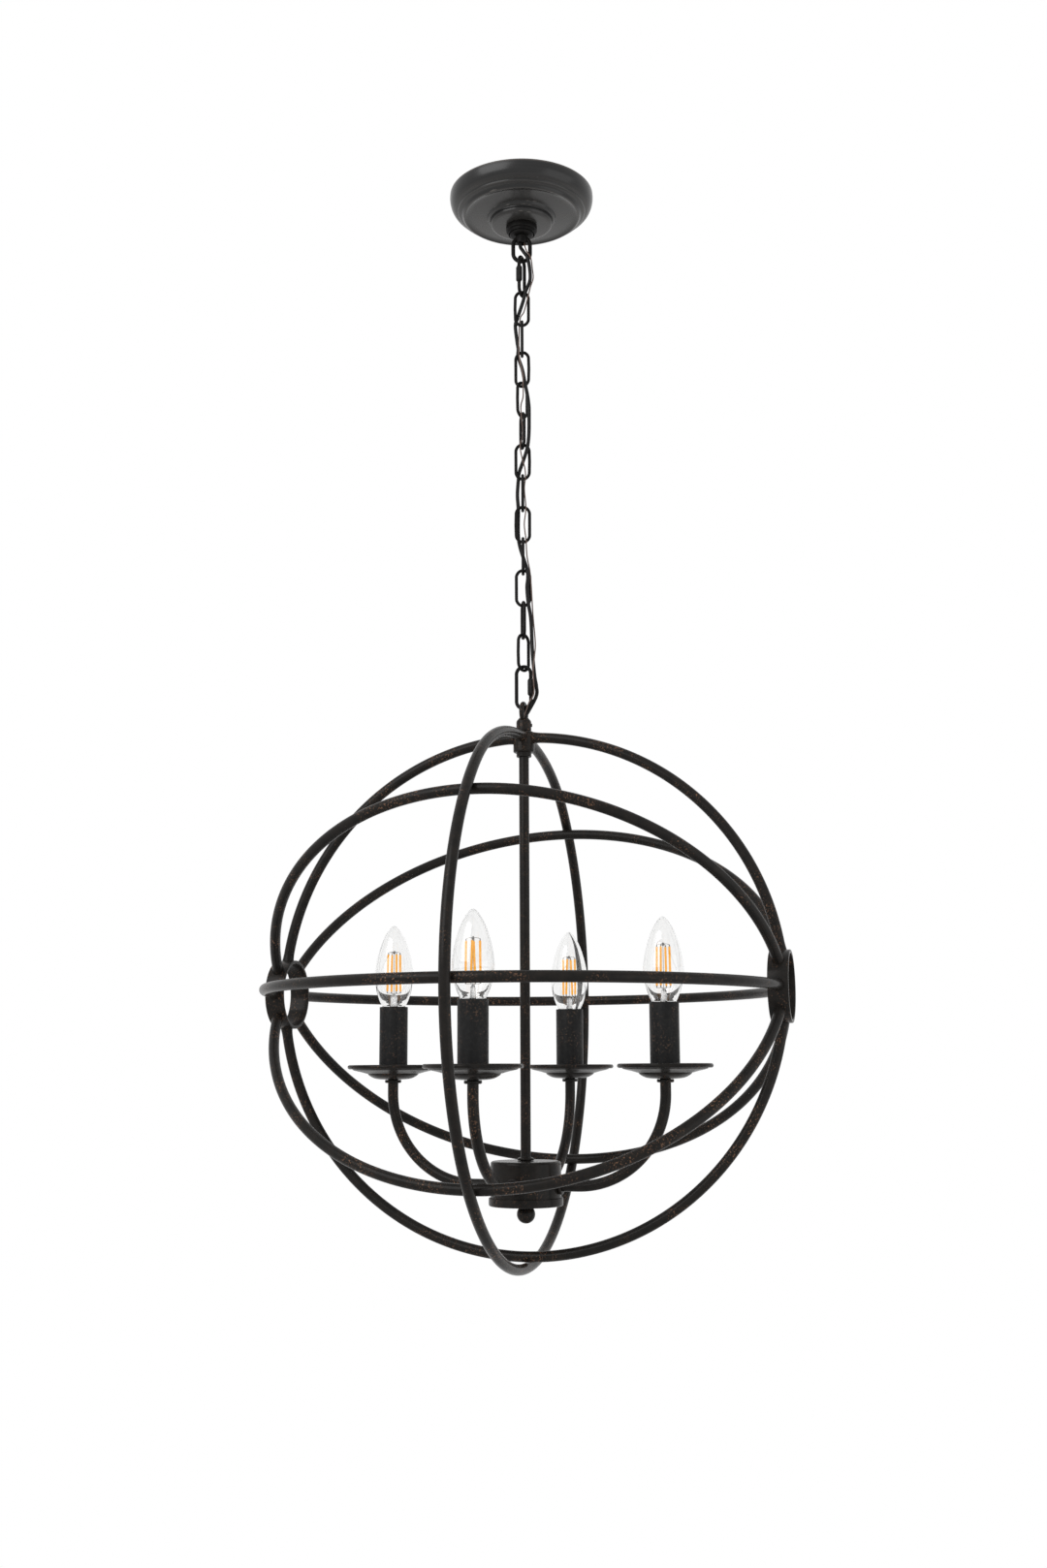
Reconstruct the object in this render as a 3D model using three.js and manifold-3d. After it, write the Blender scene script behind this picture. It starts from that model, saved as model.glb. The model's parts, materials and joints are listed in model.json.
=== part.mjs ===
// Orb chandelier: a ball of welded rods with four candle lights, hung by a chain from a ceiling canopy.
// Millimetres, +Z up. The origin is on the hanging axis in the ceiling plane.
// +X points at the right end collar.
import * as THREE from "three";
import { mergeVertices } from "three/addons/utils/BufferGeometryUtils.js";
import Module from "manifold-3d";

const wasm = await Module();
wasm.setup();

// Clearances and fineness shared by every piece
const seatGap = 0.3;
const overrun = 2;
const rodSides = 8;
const wireSides = 6;

// Ceiling strap with its threaded nipple
const strapLength = 104;
const strapWidth = 19;
const strapSheet = 2.4;
const strapSlotLength = 15;
const strapSlotWidth = 4.6;
const strapSlotShare = 0.3;
const nippleRadius = 4.9;
const nippleBore = 3.6;
const nippleDepth = 37;
const nippleNutRadius = 8;
const nippleNutHeight = 4;

// Canopy, a spun cup with a rounded rim, a dished step and a boss.
// Each pair is a share of its radius and of its depth.
const canopyRadius = 67.9;
const canopyDepth = 31;
const canopySheet = 1.2;
const canopyHoleGap = 0.6;
const canopySides = 28;
const canopyShares = [
  [1, 0],
  [1, 0.14],
  [0.98, 0.3],
  [0.94, 0.45],
  [0.9, 0.5],
  [0.845, 0.57],
  [0.805, 0.66],
  [0.785, 0.725],
  [0.745, 0.72],
  [0.65, 0.69],
  [0.48, 0.67],
  [0.468, 0.74],
  [0.44, 0.805],
  [0.435, 0.88],
  [0.415, 0.95],
  [0.385, 0.985],
  [0.17, 1],
];

// Collar ring that screws on the loop's neck and holds the canopy up
const collarRadius = 14.6;
const collarHeight = 7.4;
const collarChamfer = 1.2;
const collarStepRadius = 12.9;
const collarStepHeight = 2.6;
const collarSides = 24;

// Canopy loop: a neck, an oval eye and the short tube that the cord comes out of
const neckRadius = 11.2;
const neckTop = 20;
const neckBottom = 41;
const eyeWidth = 19.7;
const eyeWire = 3.8;
const eyeSeat = 64.2;
const eyeTopRise = 1.2;
const spoutRadius = 5;
const spoutDepth = 48;
const wireBore = 3.5;

// Chain and quick links
const linkCount = 12;
const linkWire = 2.9;
const linkWidth = 15.8;
const linkPitch = 30.25;
const quickWire = 3.3;
const quickWidth = 16.8;
const quickPitch = 34.8;
const quickNutRadius = 3;
const quickNutLength = 15.6;
const quickNutTaper = 1.6;
const quickNutTravel = 4.5;
const quickMouth = 3.4;
const bendSteps = 14;
const eyeTurn = 15;
const upperQuickTurn = 83;
const linkTurns = [15, 105, 0, 60, 120, 195, 105, 15, 105, 15, 115, 57];
const lowerQuickTurn = -3;

// Frame loop: a round eye on a short collar with a set screw
const frameEyeWidth = 20.3;
const frameEyeWire = 4.2;
const frameCollarRadius = 6.75;
const frameCollarHeight = 11.8;
const frameEyeAbove = 11.4;
const setScrewRadius = 1.5;
const setScrewProud = 1;

// Ball of rods
const ballRadius = 225.4;
const rodWire = 9.2;
const crossRingDip = 8.6;
const crossRingDipFrom = 4;
const crossRingDipTo = 40;
const arcSteps = 20;
const crossRingSteps = 40;
const endCollarRadius = 30.8;
const endCollarWall = 3;
const endCollarLength = 17.5;
const slantTurn = 45;
const halfTurn = 180;
const upperSlantTurn = 42.5;

// Hub at the top of the ball
const hubRadius = 9.5;
const hubHeight = 19;
const hubAbove = 5.6;
const hubFlangeRadius = 6.7;
const hubFlangeHeight = 4;
const hubChamfer = 1.2;
const hubSocketDepth = 14;

// Centre tube, body and finial
const stemRadius = 4.45;
const stemBore = 2.9;
const stemRingRadius = 7.2;
const stemRingHeight = 2.4;
const bodyRadius = 30.4;
const bodyHeight = 36;
const bodySheet = 1.5;
const bodyFillet = 3;
const coverRadius = 32;
const coverLip = 6.6;
const coverSheet = 1.4;
const finialRadius = 7.9;
const finialNeck = 5;
const finialNeckHeight = 0.4;
const finialStudRadius = 2.5;
const finialStudLength = 12;
const finialClearance = 22.9;

// Four lights on bent arms
const armReach = 125.2;
const armRadius = 4.65;
const armBend = 78;
const armBendSteps = 5;
const armSteps = 16;
const armBelow = 20.4;
const armDrop = 11.6;
const armInside = 3;
const armRingRadius = 7.3;
const armRingHeight = 2.8;
const armStub = 7;
const lightTurns = { left: 175.2, front: 265.2, right: 355.2, back: 85.2 };

// Drip pan: each pair is a share of its radius and of its depth
const panRadius = 40.8;
const panDepth = 12.8;
const panRim = 1.85;
const panSheet = 1;
const panSides = 22;
const panRimSides = 8;
const panShares = [
  [0.9, 0.3],
  [0.82, 0.38],
  [0.74, 0.43],
  [0.62, 0.5],
  [0.56, 0.57],
  [0.5, 0.78],
  [0.43, 0.875],
  [0.37, 0.92],
  [0.15, 1],
];

// Candle sleeve, socket and bulb
const sleeveRadius = 12.65;
const sleeveWall = 1;
const sleeveAbove = 51.3;
const socketRadius = 9.2;
const socketDrop = 3;
const socketWall = 2.6;
const socketBoreDepth = 26;
const socketFootRadius = 6.6;
const socketFootHeight = 16;
const baseRadius = 6;
const baseLength = 25;
const bulbRadius = 17.4;
const bulbHeight = 72.8;
const bulbShares = [
  [0.4, -0.04],
  [0.55, 0.01],
  [0.78, 0.07],
  [0.93, 0.16],
  [1, 0.31],
  [0.98, 0.44],
  [0.87, 0.6],
  [0.68, 0.76],
  [0.44, 0.89],
  [0.2, 0.975],
  [0, 1],
];

// Cord and ground wire: their routes are chosen by hand, as X, Y and Z in the plane of the canopy loop
const cordRadius = 1.7;
const cordSteps = 72;
const groundRadius = 0.6;
const groundSteps = 64;
const cordSides = 8;
const cordRoute = [
  [-1.2, 0, -8],
  [-1.2, 0, -30],
  [-1.2, -0.3, -45],
  [-1.1, -1.4, -52],
  [1.8, -3.5, -58],
  [5.9, -4.5, -66],
  [7.9, -3.3, -85],
  [3.3, -3.7, -99],
  [1.3, -2.2, -107],
  [-4.2, 3, -122],
  [-6.2, 3.9, -129.2],
  [-4.6, 4.5, -145],
  [-3.6, 5.2, -152],
  [-3.7, 5.1, -159.5],
  [0.1, 0.6, -174],
  [2.5, -4.6, -189.8],
  [5.4, -4.4, -206],
  [6.2, -3.2, -220],
  [4.9, -3.9, -250.2],
  [-3, 2.4, -274],
  [-3.9, 3.8, -280.5],
  [-4.9, 3.8, -296],
  [-4.1, 3.8, -310.8],
  [-3.7, 3.9, -341],
  [3.9, -4, -371.2],
  [3.5, -3.6, -387],
  [4.6, -3.8, -401.5],
  [6.9, -3.2, -417],
  [8.1, -4.8, -448],
  [9.9, -6.5, -470],
  [11.4, -4.8, -479],
  [11.4, -0.2, -487],
  [4.6, 2.2, -500],
  [1.4, 1.2, -505],
];
const groundRoute = [
  [2.3, 0, -8],
  [2.3, 0, -30],
  [2.3, -0.3, -46],
  [4.5, -5.6, -58],
  [8.5, -5.2, -65],
  [10.1, -1.4, -75],
  [10.7, -3.6, -85],
  [8, -5.4, -95],
  [2.2, 0, -116],
  [-1.9, 2.6, -124.6],
  [-2.9, -2.3, -160],
  [0.6, -5.4, -181],
  [0.7, -7.2, -190],
  [0.8, -3.4, -202],
  [-1.1, -3, -210],
  [-1.3, -5.1, -218],
  [0.4, -3.4, -240],
  [-2.2, -3.2, -250],
  [-0.8, -5.2, -262],
  [2, -2.9, -272],
  [2.6, -3.1, -281],
  [1.5, -1.8, -292],
  [2.8, -3, -311],
  [1.3, -2.3, -326],
  [2.8, -2.6, -341],
  [3.7, -0.3, -356],
  [6.2, -2.5, -371],
  [7.4, -3.3, -386],
  [8.7, -1.4, -411],
  [10.7, -3.9, -438],
  [9.9, -8.1, -452],
  [8.5, -9.6, -465],
  [9, -8.6, -477],
  [8.9, -6.1, -487],
  [4.4, -5.8, -495],
  [0.4, -1.3, -506],
];

// A geometry made into a solid that can be joined and cut
function solid(geometry) {
  const bare = geometry.clone();
  bare.deleteAttribute("normal");
  bare.deleteAttribute("uv");
  const merged = mergeVertices(bare, 1e-4);
  return new wasm.Manifold(
    new wasm.Mesh({
      numProp: 3,
      vertProperties: merged.attributes.position.array,
      triVerts: new Uint32Array(merged.index.array),
    }),
  );
}

// A solid turned back into a geometry for its mesh
function geometryOf(made) {
  const { vertProperties, triVerts } = made.getMesh();
  const geometry = new THREE.BufferGeometry();
  geometry.setAttribute("position", new THREE.BufferAttribute(vertProperties, 3));
  geometry.setIndex(new THREE.BufferAttribute(triVerts, 1));
  const flat = geometry.toNonIndexed();
  flat.computeVertexNormals();
  return flat;
}

function join(first, ...rest) {
  return geometryOf(rest.reduce((sum, piece) => sum.add(solid(piece)), solid(first)));
}

function cut(from, ...tools) {
  return geometryOf(tools.reduce((left, tool) => left.subtract(solid(tool)), solid(from)));
}

// A profile of radius and height pairs, turned about Z: it closes on itself or ends on the axis
function turned(profile, segments) {
  const points = profile.map(([radius, height]) => new THREE.Vector2(radius, height));
  if (THREE.ShapeUtils.area(points) < 0) points.reverse();
  return new THREE.LatheGeometry(points, segments).rotateX(Math.PI / 2);
}

// A ring of rectangular section between two radii and two heights
function band(inner, outer, low, high, segments) {
  return turned([[inner, low], [outer, low], [outer, high], [inner, high], [inner, low]], segments);
}

function cylinder(radius, low, high, segments) {
  const round = new THREE.CylinderGeometry(radius, radius, high - low, segments);
  return round.rotateX(Math.PI / 2).translate(0, 0, (low + high) / 2);
}

function box(width, depth, height) {
  return new THREE.BoxGeometry(width, depth, height);
}

// The closed profile of a sheet: the given line, and the same line one sheet further in
function sheetProfile(line, sheet) {
  const inner = line.map((point, i) => {
    const before = line[Math.max(i - 1, 0)];
    const after = line[Math.min(i + 1, line.length - 1)];
    const along = new THREE.Vector2(after[0] - before[0], after[1] - before[1]).normalize();
    return [point[0] + along.y * sheet, point[1] - along.x * sheet];
  });
  return [...line, ...inner.reverse(), line[0]];
}

// A round bar that follows a path
function bar(path, radius, steps, sides) {
  const ring = [];
  for (let i = 0; i < sides; i++) {
    const angle = (i / sides) * 2 * Math.PI;
    ring.push(new THREE.Vector2(radius * Math.cos(angle), radius * Math.sin(angle)));
  }
  const section = new THREE.Shape(ring);
  return new THREE.ExtrudeGeometry(section, { steps, extrudePath: path, bevelEnabled: false });
}

// An oval of round wire standing in the XZ plane, centred on the origin
function oval(width, length, wire, sides) {
  const bend = (width - wire) / 2;
  const halfLeg = (length - width) / 2;
  const halfStep = Math.PI / bendSteps;
  const ring = new THREE.TorusGeometry(bend, wire / 2, sides, bendSteps).rotateZ(halfStep);
  ring.scale(1 / Math.cos(halfStep), 1, 1);
  const place = ring.attributes.position;
  for (let i = 0; i < place.count; i++) {
    place.setY(i, place.getY(i) + Math.sign(place.getY(i)) * halfLeg);
  }
  return ring.rotateX(Math.PI / 2);
}

// The inner radius of a bore with flat sides that clears a round bar
function clearBore(radius, sides) {
  return (radius + seatGap) / Math.cos(Math.PI / sides);
}

// An arc in the XZ plane about the origin, its angle measured from +X towards +Z
class ArcPath extends THREE.Curve {
  constructor(from, to, radiusAt) {
    super();
    Object.assign(this, { from, to, radiusAt });
  }
  getPoint(t, target = new THREE.Vector3()) {
    const angle = this.from + (this.to - this.from) * t;
    const radius = this.radiusAt(angle);
    return target.set(radius * Math.cos(angle), 0, radius * Math.sin(angle));
  }
}

function finish(color, roughness, metalness) {
  return new THREE.MeshStandardMaterial({ color, roughness, metalness });
}

const bronze = finish(0x2c2724, 0.5, 0.7);
const canopyBronze = finish(0x4a4743, 0.42, 0.7);
const black = finish(0x1c1b1b, 0.55, 0.5);
const sleeveBlack = finish(0x1d1d1d, 0.75, 0);
const glass = finish(0xeaf0f2, 0.05, 0);
const porcelain = finish(0xdedad2, 0.4, 0);
const steel = finish(0x9a9a98, 0.4, 0.9);
const jacket = finish(0x171616, 0.5, 0);
const copper = finish(0x8a5f4c, 0.4, 0.6);

const chandelier = new THREE.Group();

function place(name, geometry, material, parent, height = 0, turn = 0) {
  const mesh = new THREE.Mesh(geometry, material);
  mesh.name = name;
  mesh.position.z = height;
  mesh.rotation.z = THREE.MathUtils.degToRad(turn);
  parent.add(mesh);
  return mesh;
}

// Heights down the hanging axis, from the ceiling to the ball's centre
const ovalLength = (pitch, wire) => pitch + seatGap + 2 * wire;
const firstLinkSeat = -eyeSeat - quickPitch;
const lastLinkSeat = firstLinkSeat - linkCount * linkPitch;
const frameSeat = lastLinkSeat - quickPitch;
const frameCollarTop = frameSeat - frameEyeAbove;
const hubTop = frameCollarTop - frameCollarHeight - seatGap;
const ballCentre = hubTop - hubAbove - ballRadius;

// The strap that screws to the ceiling box, with the nipple and its nut
function strapGeometry() {
  const plate = box(strapLength, strapWidth, strapSheet).translate(0, 0, -strapSheet / 2);
  const slot = box(strapSlotLength, strapSlotWidth, strapSheet + 2 * overrun);
  slot.translate(0, 0, -strapSheet / 2);
  const slotPlace = strapLength * strapSlotShare;
  const nipple = cylinder(nippleRadius, -nippleDepth, -strapSheet / 2, rodSides);
  const nutBottom = -strapSheet - nippleNutHeight;
  const nut = cylinder(nippleNutRadius, nutBottom, -strapSheet / 2, wireSides);
  const bore = cylinder(nippleBore, -nippleDepth - overrun, overrun, rodSides);
  const left = slot.clone().translate(-slotPlace, 0, 0);
  const right = slot.clone().translate(slotPlace, 0, 0);
  return cut(join(plate, nipple, nut), bore, left, right);
}

function canopyGeometry() {
  const hole = (neckRadius + canopyHoleGap) / Math.cos(Math.PI / collarSides);
  const line = canopyShares.map(([radiusShare, depthShare]) => [
    Math.max(canopyRadius * radiusShare, hole),
    -canopyDepth * depthShare,
  ]);
  line.push([hole, line[line.length - 1][1]]);
  return turned(sheetProfile(line, canopySheet), canopySides);
}

const canopyBottom = -canopyDepth * canopyShares[canopyShares.length - 1][1];

function collarGeometry() {
  const hole = (neckRadius + canopyHoleGap) / Math.cos(Math.PI / collarSides);
  const top = canopyBottom - seatGap;
  const bottom = top - collarHeight;
  const profile = [
    [hole, top],
    [hole, bottom],
    [collarStepRadius, bottom],
    [collarStepRadius, bottom + collarStepHeight],
    [collarRadius - collarChamfer, bottom + collarStepHeight],
    [collarRadius, bottom + collarStepHeight + collarChamfer],
    [collarRadius, top],
    [hole, top],
  ];
  return turned(profile, collarSides);
}

function canopyLoopGeometry() {
  const eyeBottom = -eyeSeat - eyeWire;
  const eyeTop = -neckBottom + eyeTopRise;
  const eye = oval(eyeWidth, eyeTop - eyeBottom, eyeWire, rodSides);
  eye.translate(0, 0, (eyeTop + eyeBottom) / 2);
  const neck = cylinder(neckRadius, -neckBottom, -neckTop, 20);
  const spout = cylinder(spoutRadius, -spoutDepth, -neckBottom + overrun, 12);
  const nippleClear = clearBore(nippleRadius, rodSides);
  const socket = cylinder(nippleClear, -nippleDepth - seatGap, -neckTop + overrun, rodSides);
  const bore = cylinder(wireBore, -spoutDepth - overrun, -neckTop, 12);
  return cut(join(neck, eye, spout), socket, bore);
}

// A quick link: an oval with a mouth in one leg, which its sleeve nut bridges
function quickLinkGeometry(side) {
  const length = ovalLength(quickPitch, quickWire);
  const ring = oval(quickWidth, length, quickWire, wireSides);
  const mouthMiddle = -quickNutLength / 2 + quickNutTravel - quickMouth / 2 - seatGap;
  const legPlace = ((quickWidth - quickWire) / 2) * side;
  const mouth = box(quickWire + 2 * overrun, quickWire + 2 * overrun, quickMouth);
  return cut(ring, mouth.translate(legPlace, 0, mouthMiddle));
}

function quickNutGeometry(side) {
  const bore = (quickWire / 2 + seatGap) / Math.cos(Math.PI / 10);
  const half = quickNutLength / 2;
  const end = quickNutRadius - quickNutTaper / 2;
  const profile = [
    [bore, -half],
    [end, -half],
    [quickNutRadius, quickNutTaper - half],
    [quickNutRadius, half - quickNutTaper],
    [end, half],
    [bore, half],
    [bore, -half],
  ];
  return turned(profile, 10).translate(((quickWidth - quickWire) / 2) * side, 0, 0);
}

function frameLoopGeometry() {
  const eyeMiddle = frameSeat + seatGap + frameEyeWire - frameEyeWidth / 2;
  const eye = new THREE.TorusGeometry((frameEyeWidth - frameEyeWire) / 2, frameEyeWire / 2, rodSides, 20);
  eye.rotateY(Math.PI / 2).translate(0, 0, eyeMiddle);
  const collarBottom = frameCollarTop - frameCollarHeight;
  const collar = cylinder(frameCollarRadius, collarBottom, frameCollarTop, 16);
  const screwReach = frameCollarRadius + setScrewProud;
  const screw = cylinder(setScrewRadius, frameCollarRadius / 2, screwReach, rodSides).rotateY(Math.PI / 2);
  screw.rotateZ(THREE.MathUtils.degToRad(eyeTurn)).translate(0, 0, frameCollarTop - frameCollarHeight / 2);
  const bore = cylinder(wireBore, collarBottom - overrun, eyeMiddle, 12);
  return cut(join(eye, collar, screw), bore);
}

function hubGeometry() {
  const socketBore = clearBore(stemRadius, 12);
  const low = -hubHeight;
  const profile = [
    [wireBore, -hubHeight + hubSocketDepth],
    [wireBore, 0],
    [hubRadius - hubChamfer, 0],
    [hubRadius, -hubChamfer],
    [hubRadius, low],
    [hubFlangeRadius, low],
    [hubFlangeRadius, low - hubFlangeHeight],
    [socketBore, low - hubFlangeHeight],
    [socketBore, -hubHeight + hubSocketDepth],
    [wireBore, -hubHeight + hubSocketDepth],
  ];
  return turned(profile, 20);
}

// Cutters that leave the welding gap round the hub and round the end collars
const hubCutter = () => cylinder(hubRadius + seatGap, -hubHeight - overrun, overrun, 20);
const collarCutter = () => {
  const reach = ballRadius + endCollarLength;
  return cylinder(endCollarRadius + seatGap, -reach, reach, 24).rotateY(Math.PI / 2);
};

// A rod from one end collar to the other, swung about X: 90 is over the top and 0 is level at the back
function halfArcGeometry(turn) {
  const start = Math.asin((endCollarRadius - rodWire / 2) / ballRadius);
  const path = new ArcPath(start, Math.PI - start, () => ballRadius);
  const rod = bar(path, rodWire / 2, arcSteps, rodSides);
  return cut(rod, collarCutter()).rotateX(THREE.MathUtils.degToRad(turn - 90));
}

// A quarter rod from the hub down to the end collar on one side
function topArcGeometry(side) {
  const start = Math.asin((endCollarRadius - rodWire / 2) / ballRadius);
  const path = new ArcPath(start, Math.PI / 2, () => ballRadius);
  const rod = bar(path, rodWire / 2, arcSteps / 2, rodSides);
  const hub = hubCutter().translate(0, 0, hubAbove + ballRadius);
  const quarter = cut(rod, hub, collarCutter());
  return side > 0 ? quarter : quarter.rotateZ(Math.PI);
}

// The full ring outside the others, which dips to the hub at the top
function crossRingGeometry() {
  const outer = (ballRadius + rodWire + seatGap) / Math.cos(Math.PI / crossRingSteps);
  const dipFrom = THREE.MathUtils.degToRad(crossRingDipFrom);
  const dipTo = THREE.MathUtils.degToRad(crossRingDipTo);
  const radiusAt = (angle) => {
    const fromTop = Math.min(angle - Math.PI / 2, (5 * Math.PI) / 2 - angle);
    return outer - crossRingDip * (1 - THREE.MathUtils.smoothstep(fromTop, dipFrom, dipTo));
  };
  const opening = Math.asin(hubRadius / 2 / outer);
  const path = new ArcPath(Math.PI / 2 + opening, (5 * Math.PI) / 2 - opening, radiusAt);
  const rod = bar(path, rodWire / 2, crossRingSteps, rodSides).rotateZ(Math.PI / 2);
  return cut(rod, hubCutter().translate(0, 0, hubAbove + ballRadius));
}

// Each end of the arcs meets a short open tube on the X axis
function endCollarGeometry() {
  const half = endCollarLength / 2;
  const ring = band(endCollarRadius - endCollarWall, endCollarRadius, -half, half, 24);
  return ring.rotateY(Math.PI / 2);
}

const endCollarPlace = Math.sqrt(ballRadius ** 2 - endCollarRadius ** 2);

// Heights from the ball's centre, up from the bottom rod: finial, cover, body, arms, pans and sleeves
const finialMiddle = -ballRadius + rodWire / 2 + finialClearance + finialRadius;
const finialTop = finialMiddle + Math.sqrt(finialRadius ** 2 - finialNeck ** 2) + finialNeckHeight;
const coverFloor = finialTop + seatGap;
const bodyFloor = coverFloor + coverSheet + seatGap;
const coverTop = bodyFloor + coverLip - coverSheet;
const bodyTop = bodyFloor + bodyHeight;
const armEntry = bodyTop - armBelow;
const panFloor = armEntry + armBend + armDrop;
const panTop = panFloor + panDepth;
const sleeveTop = panTop + sleeveAbove;
const armTop = panFloor + panSheet + armStub;
const socketTop = sleeveTop - socketDrop;
const baseBottom = sleeveTop - baseLength;

function stemGeometry() {
  const top = hubAbove + ballRadius - hubHeight + hubSocketDepth - seatGap;
  const bottom = coverFloor + coverSheet + seatGap;
  const ringLow = bodyTop + seatGap;
  const profile = [
    [stemBore, bottom],
    [stemRadius, bottom],
    [stemRadius, ringLow],
    [stemRingRadius, ringLow],
    [stemRingRadius, ringLow + stemRingHeight],
    [stemRadius, ringLow + stemRingHeight],
    [stemRadius, top],
    [stemBore, top],
    [stemBore, bottom],
  ];
  return turned(profile, 12);
}

function bodyCupGeometry() {
  const hole = clearBore(stemRadius, 12);
  const line = [
    [bodyRadius, bodyFloor],
    [bodyRadius, bodyTop - bodyFillet],
    [bodyRadius - bodyFillet * (1 - Math.SQRT1_2), bodyTop - bodyFillet * (1 - Math.SQRT1_2)],
    [bodyRadius - bodyFillet, bodyTop],
    [hole, bodyTop],
  ];
  const inner = line.map(([radius, height], i) => [
    i < line.length - 1 ? radius - bodySheet : radius,
    i > 0 ? height - bodySheet : height,
  ]);
  const shell = turned([...line, ...inner.reverse(), line[0]], 28);
  const armHoles = Object.values(lightTurns).map((turn) =>
    cylinder(clearBore(armRadius, rodSides), bodyRadius / 2, bodyRadius + overrun, rodSides)
      .rotateY(Math.PI / 2)
      .rotateZ(THREE.MathUtils.degToRad(turn))
      .translate(0, 0, armEntry),
  );
  return cut(shell, ...armHoles);
}

function bodyCoverGeometry() {
  const hole = clearBore(finialStudRadius, 12);
  const lipInner = bodyRadius + seatGap;
  const profile = [
    [hole, coverFloor],
    [coverRadius - coverSheet, coverFloor],
    [coverRadius, coverFloor + coverSheet],
    [coverRadius, coverTop],
    [lipInner, coverTop],
    [lipInner, coverFloor + coverSheet],
    [hole, coverFloor + coverSheet],
    [hole, coverFloor],
  ];
  return turned(profile, 28);
}

function finialGeometry() {
  const profile = [[0, finialMiddle - finialRadius]];
  const rings = 7;
  const last = Math.PI - Math.asin(finialNeck / finialRadius);
  for (let i = 1; i <= rings; i++) {
    const angle = (last * i) / rings;
    profile.push([finialRadius * Math.sin(angle), finialMiddle - finialRadius * Math.cos(angle)]);
  }
  const studTop = finialTop + finialStudLength;
  profile.push([finialNeck, finialTop], [finialStudRadius, finialTop]);
  profile.push([finialStudRadius, studTop], [0, studTop]);
  return turned(profile, 16);
}

function armGeometry() {
  const middle = armEntry + armBend;
  const points = [new THREE.Vector3(armReach, 0, armTop)];
  for (let i = 0; i <= armBendSteps; i++) {
    const angle = (i / armBendSteps) * (Math.PI / 2);
    const across = armReach - armBend + armBend * Math.cos(angle);
    points.push(new THREE.Vector3(across, 0, middle - armBend * Math.sin(angle)));
  }
  points.push(new THREE.Vector3(bodyRadius - bodySheet - armInside, 0, armEntry));
  const tube = bar(new THREE.CatmullRomCurve3(points), armRadius, armSteps, rodSides);
  const ringTop = panFloor - seatGap;
  const panRing = cylinder(armRingRadius, ringTop - armRingHeight, ringTop, 12).translate(armReach, 0, 0);
  const wallFace = bodyRadius + seatGap;
  const bodyRing = cylinder(armRingRadius, wallFace, wallFace + armRingHeight, 12).rotateY(Math.PI / 2);
  return join(tube, panRing, bodyRing.translate(0, 0, armEntry));
}

// A two-step bowl whose edge is rolled into a round lip
function panGeometry() {
  const hole = clearBore(armRadius, rodSides);
  const lip = [];
  for (let i = 0; i <= panRimSides; i++) {
    const turn = (i / panRimSides) * 2 * Math.PI;
    lip.push([
      panRadius - panRim + panRim * Math.cos(turn),
      panTop - panRim + panRim * Math.sin(turn),
    ]);
  }
  const line = panShares.map(([radiusShare, depthShare]) => [
    Math.max(panRadius * radiusShare, hole),
    panTop - panDepth * depthShare,
  ]);
  line.unshift([panRadius - panRim, panTop - panRim]);
  line.push([hole, panFloor]);
  const bowl = turned(sheetProfile(line, panSheet), panSides);
  return join(bowl, turned(lip, panSides)).translate(armReach, 0, 0);
}

function sleeveGeometry() {
  const bottom = panFloor + panSheet + seatGap + sleeveWall;
  const ring = band(sleeveRadius - sleeveWall, sleeveRadius, bottom, sleeveTop, 18);
  return ring.translate(armReach, 0, 0);
}

function socketGeometry() {
  const bottom = panFloor + panSheet + seatGap;
  const foot = bottom + socketFootHeight;
  const stub = clearBore(armRadius, rodSides);
  const bore = clearBore(baseRadius, 14);
  const boreFloor = baseBottom - seatGap;
  const stubTop = armTop + seatGap;
  const profile = [
    [0, stubTop],
    [stub, stubTop],
    [stub, bottom],
    [socketFootRadius, bottom],
    [socketFootRadius, foot],
    [bore + socketWall, foot],
    [bore + socketWall, socketTop],
    [bore, socketTop],
    [bore, boreFloor],
    [0, boreFloor],
  ];
  return turned(profile, 14).translate(armReach, 0, 0);
}

function bulbGeometry() {
  const glassLine = bulbShares.map(([radiusShare, heightShare]) => [
    bulbRadius * radiusShare,
    bulbHeight * heightShare + sleeveTop,
  ]);
  const neck = glassLine[0][1];
  const profile = [
    [0, baseBottom],
    [baseRadius / 2, baseBottom],
    [baseRadius, baseBottom + baseRadius / 2],
    [baseRadius, neck],
    ...glassLine,
  ];
  return turned(profile, 14).translate(armReach, 0, 0);
}

// Ceiling fitting
place("mounting_strap", strapGeometry(), steel, chandelier);
place("canopy", canopyGeometry(), canopyBronze, chandelier);
place("canopy_collar", collarGeometry(), black, chandelier);
place("canopy_loop", canopyLoopGeometry(), black, chandelier, 0, eyeTurn);

// Chain, with a quick link at each end
function placeQuickLink(prefix, seat, turn, side) {
  const middle = seat - (quickPitch + seatGap) / 2 + seatGap;
  place(prefix + "_quick_link", quickLinkGeometry(side), black, chandelier, middle, turn);
  place(prefix + "_link_nut", quickNutGeometry(side), black, chandelier, middle, turn);
}

placeQuickLink("upper", -eyeSeat, upperQuickTurn, -1);
linkTurns.forEach((turn, i) => {
  const length = ovalLength(linkPitch, linkWire);
  const middle = firstLinkSeat - i * linkPitch - (linkPitch + seatGap) / 2 + seatGap;
  const name = "chain_link_" + String(i + 1).padStart(2, "0");
  place(name, oval(linkWidth, length, linkWire, wireSides), black, chandelier, middle, turn);
});
placeQuickLink("lower", lastLinkSeat, lowerQuickTurn, 1);

place("frame_loop", frameLoopGeometry(), bronze, chandelier);
place("top_hub", hubGeometry(), bronze, chandelier, hubTop);

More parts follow.
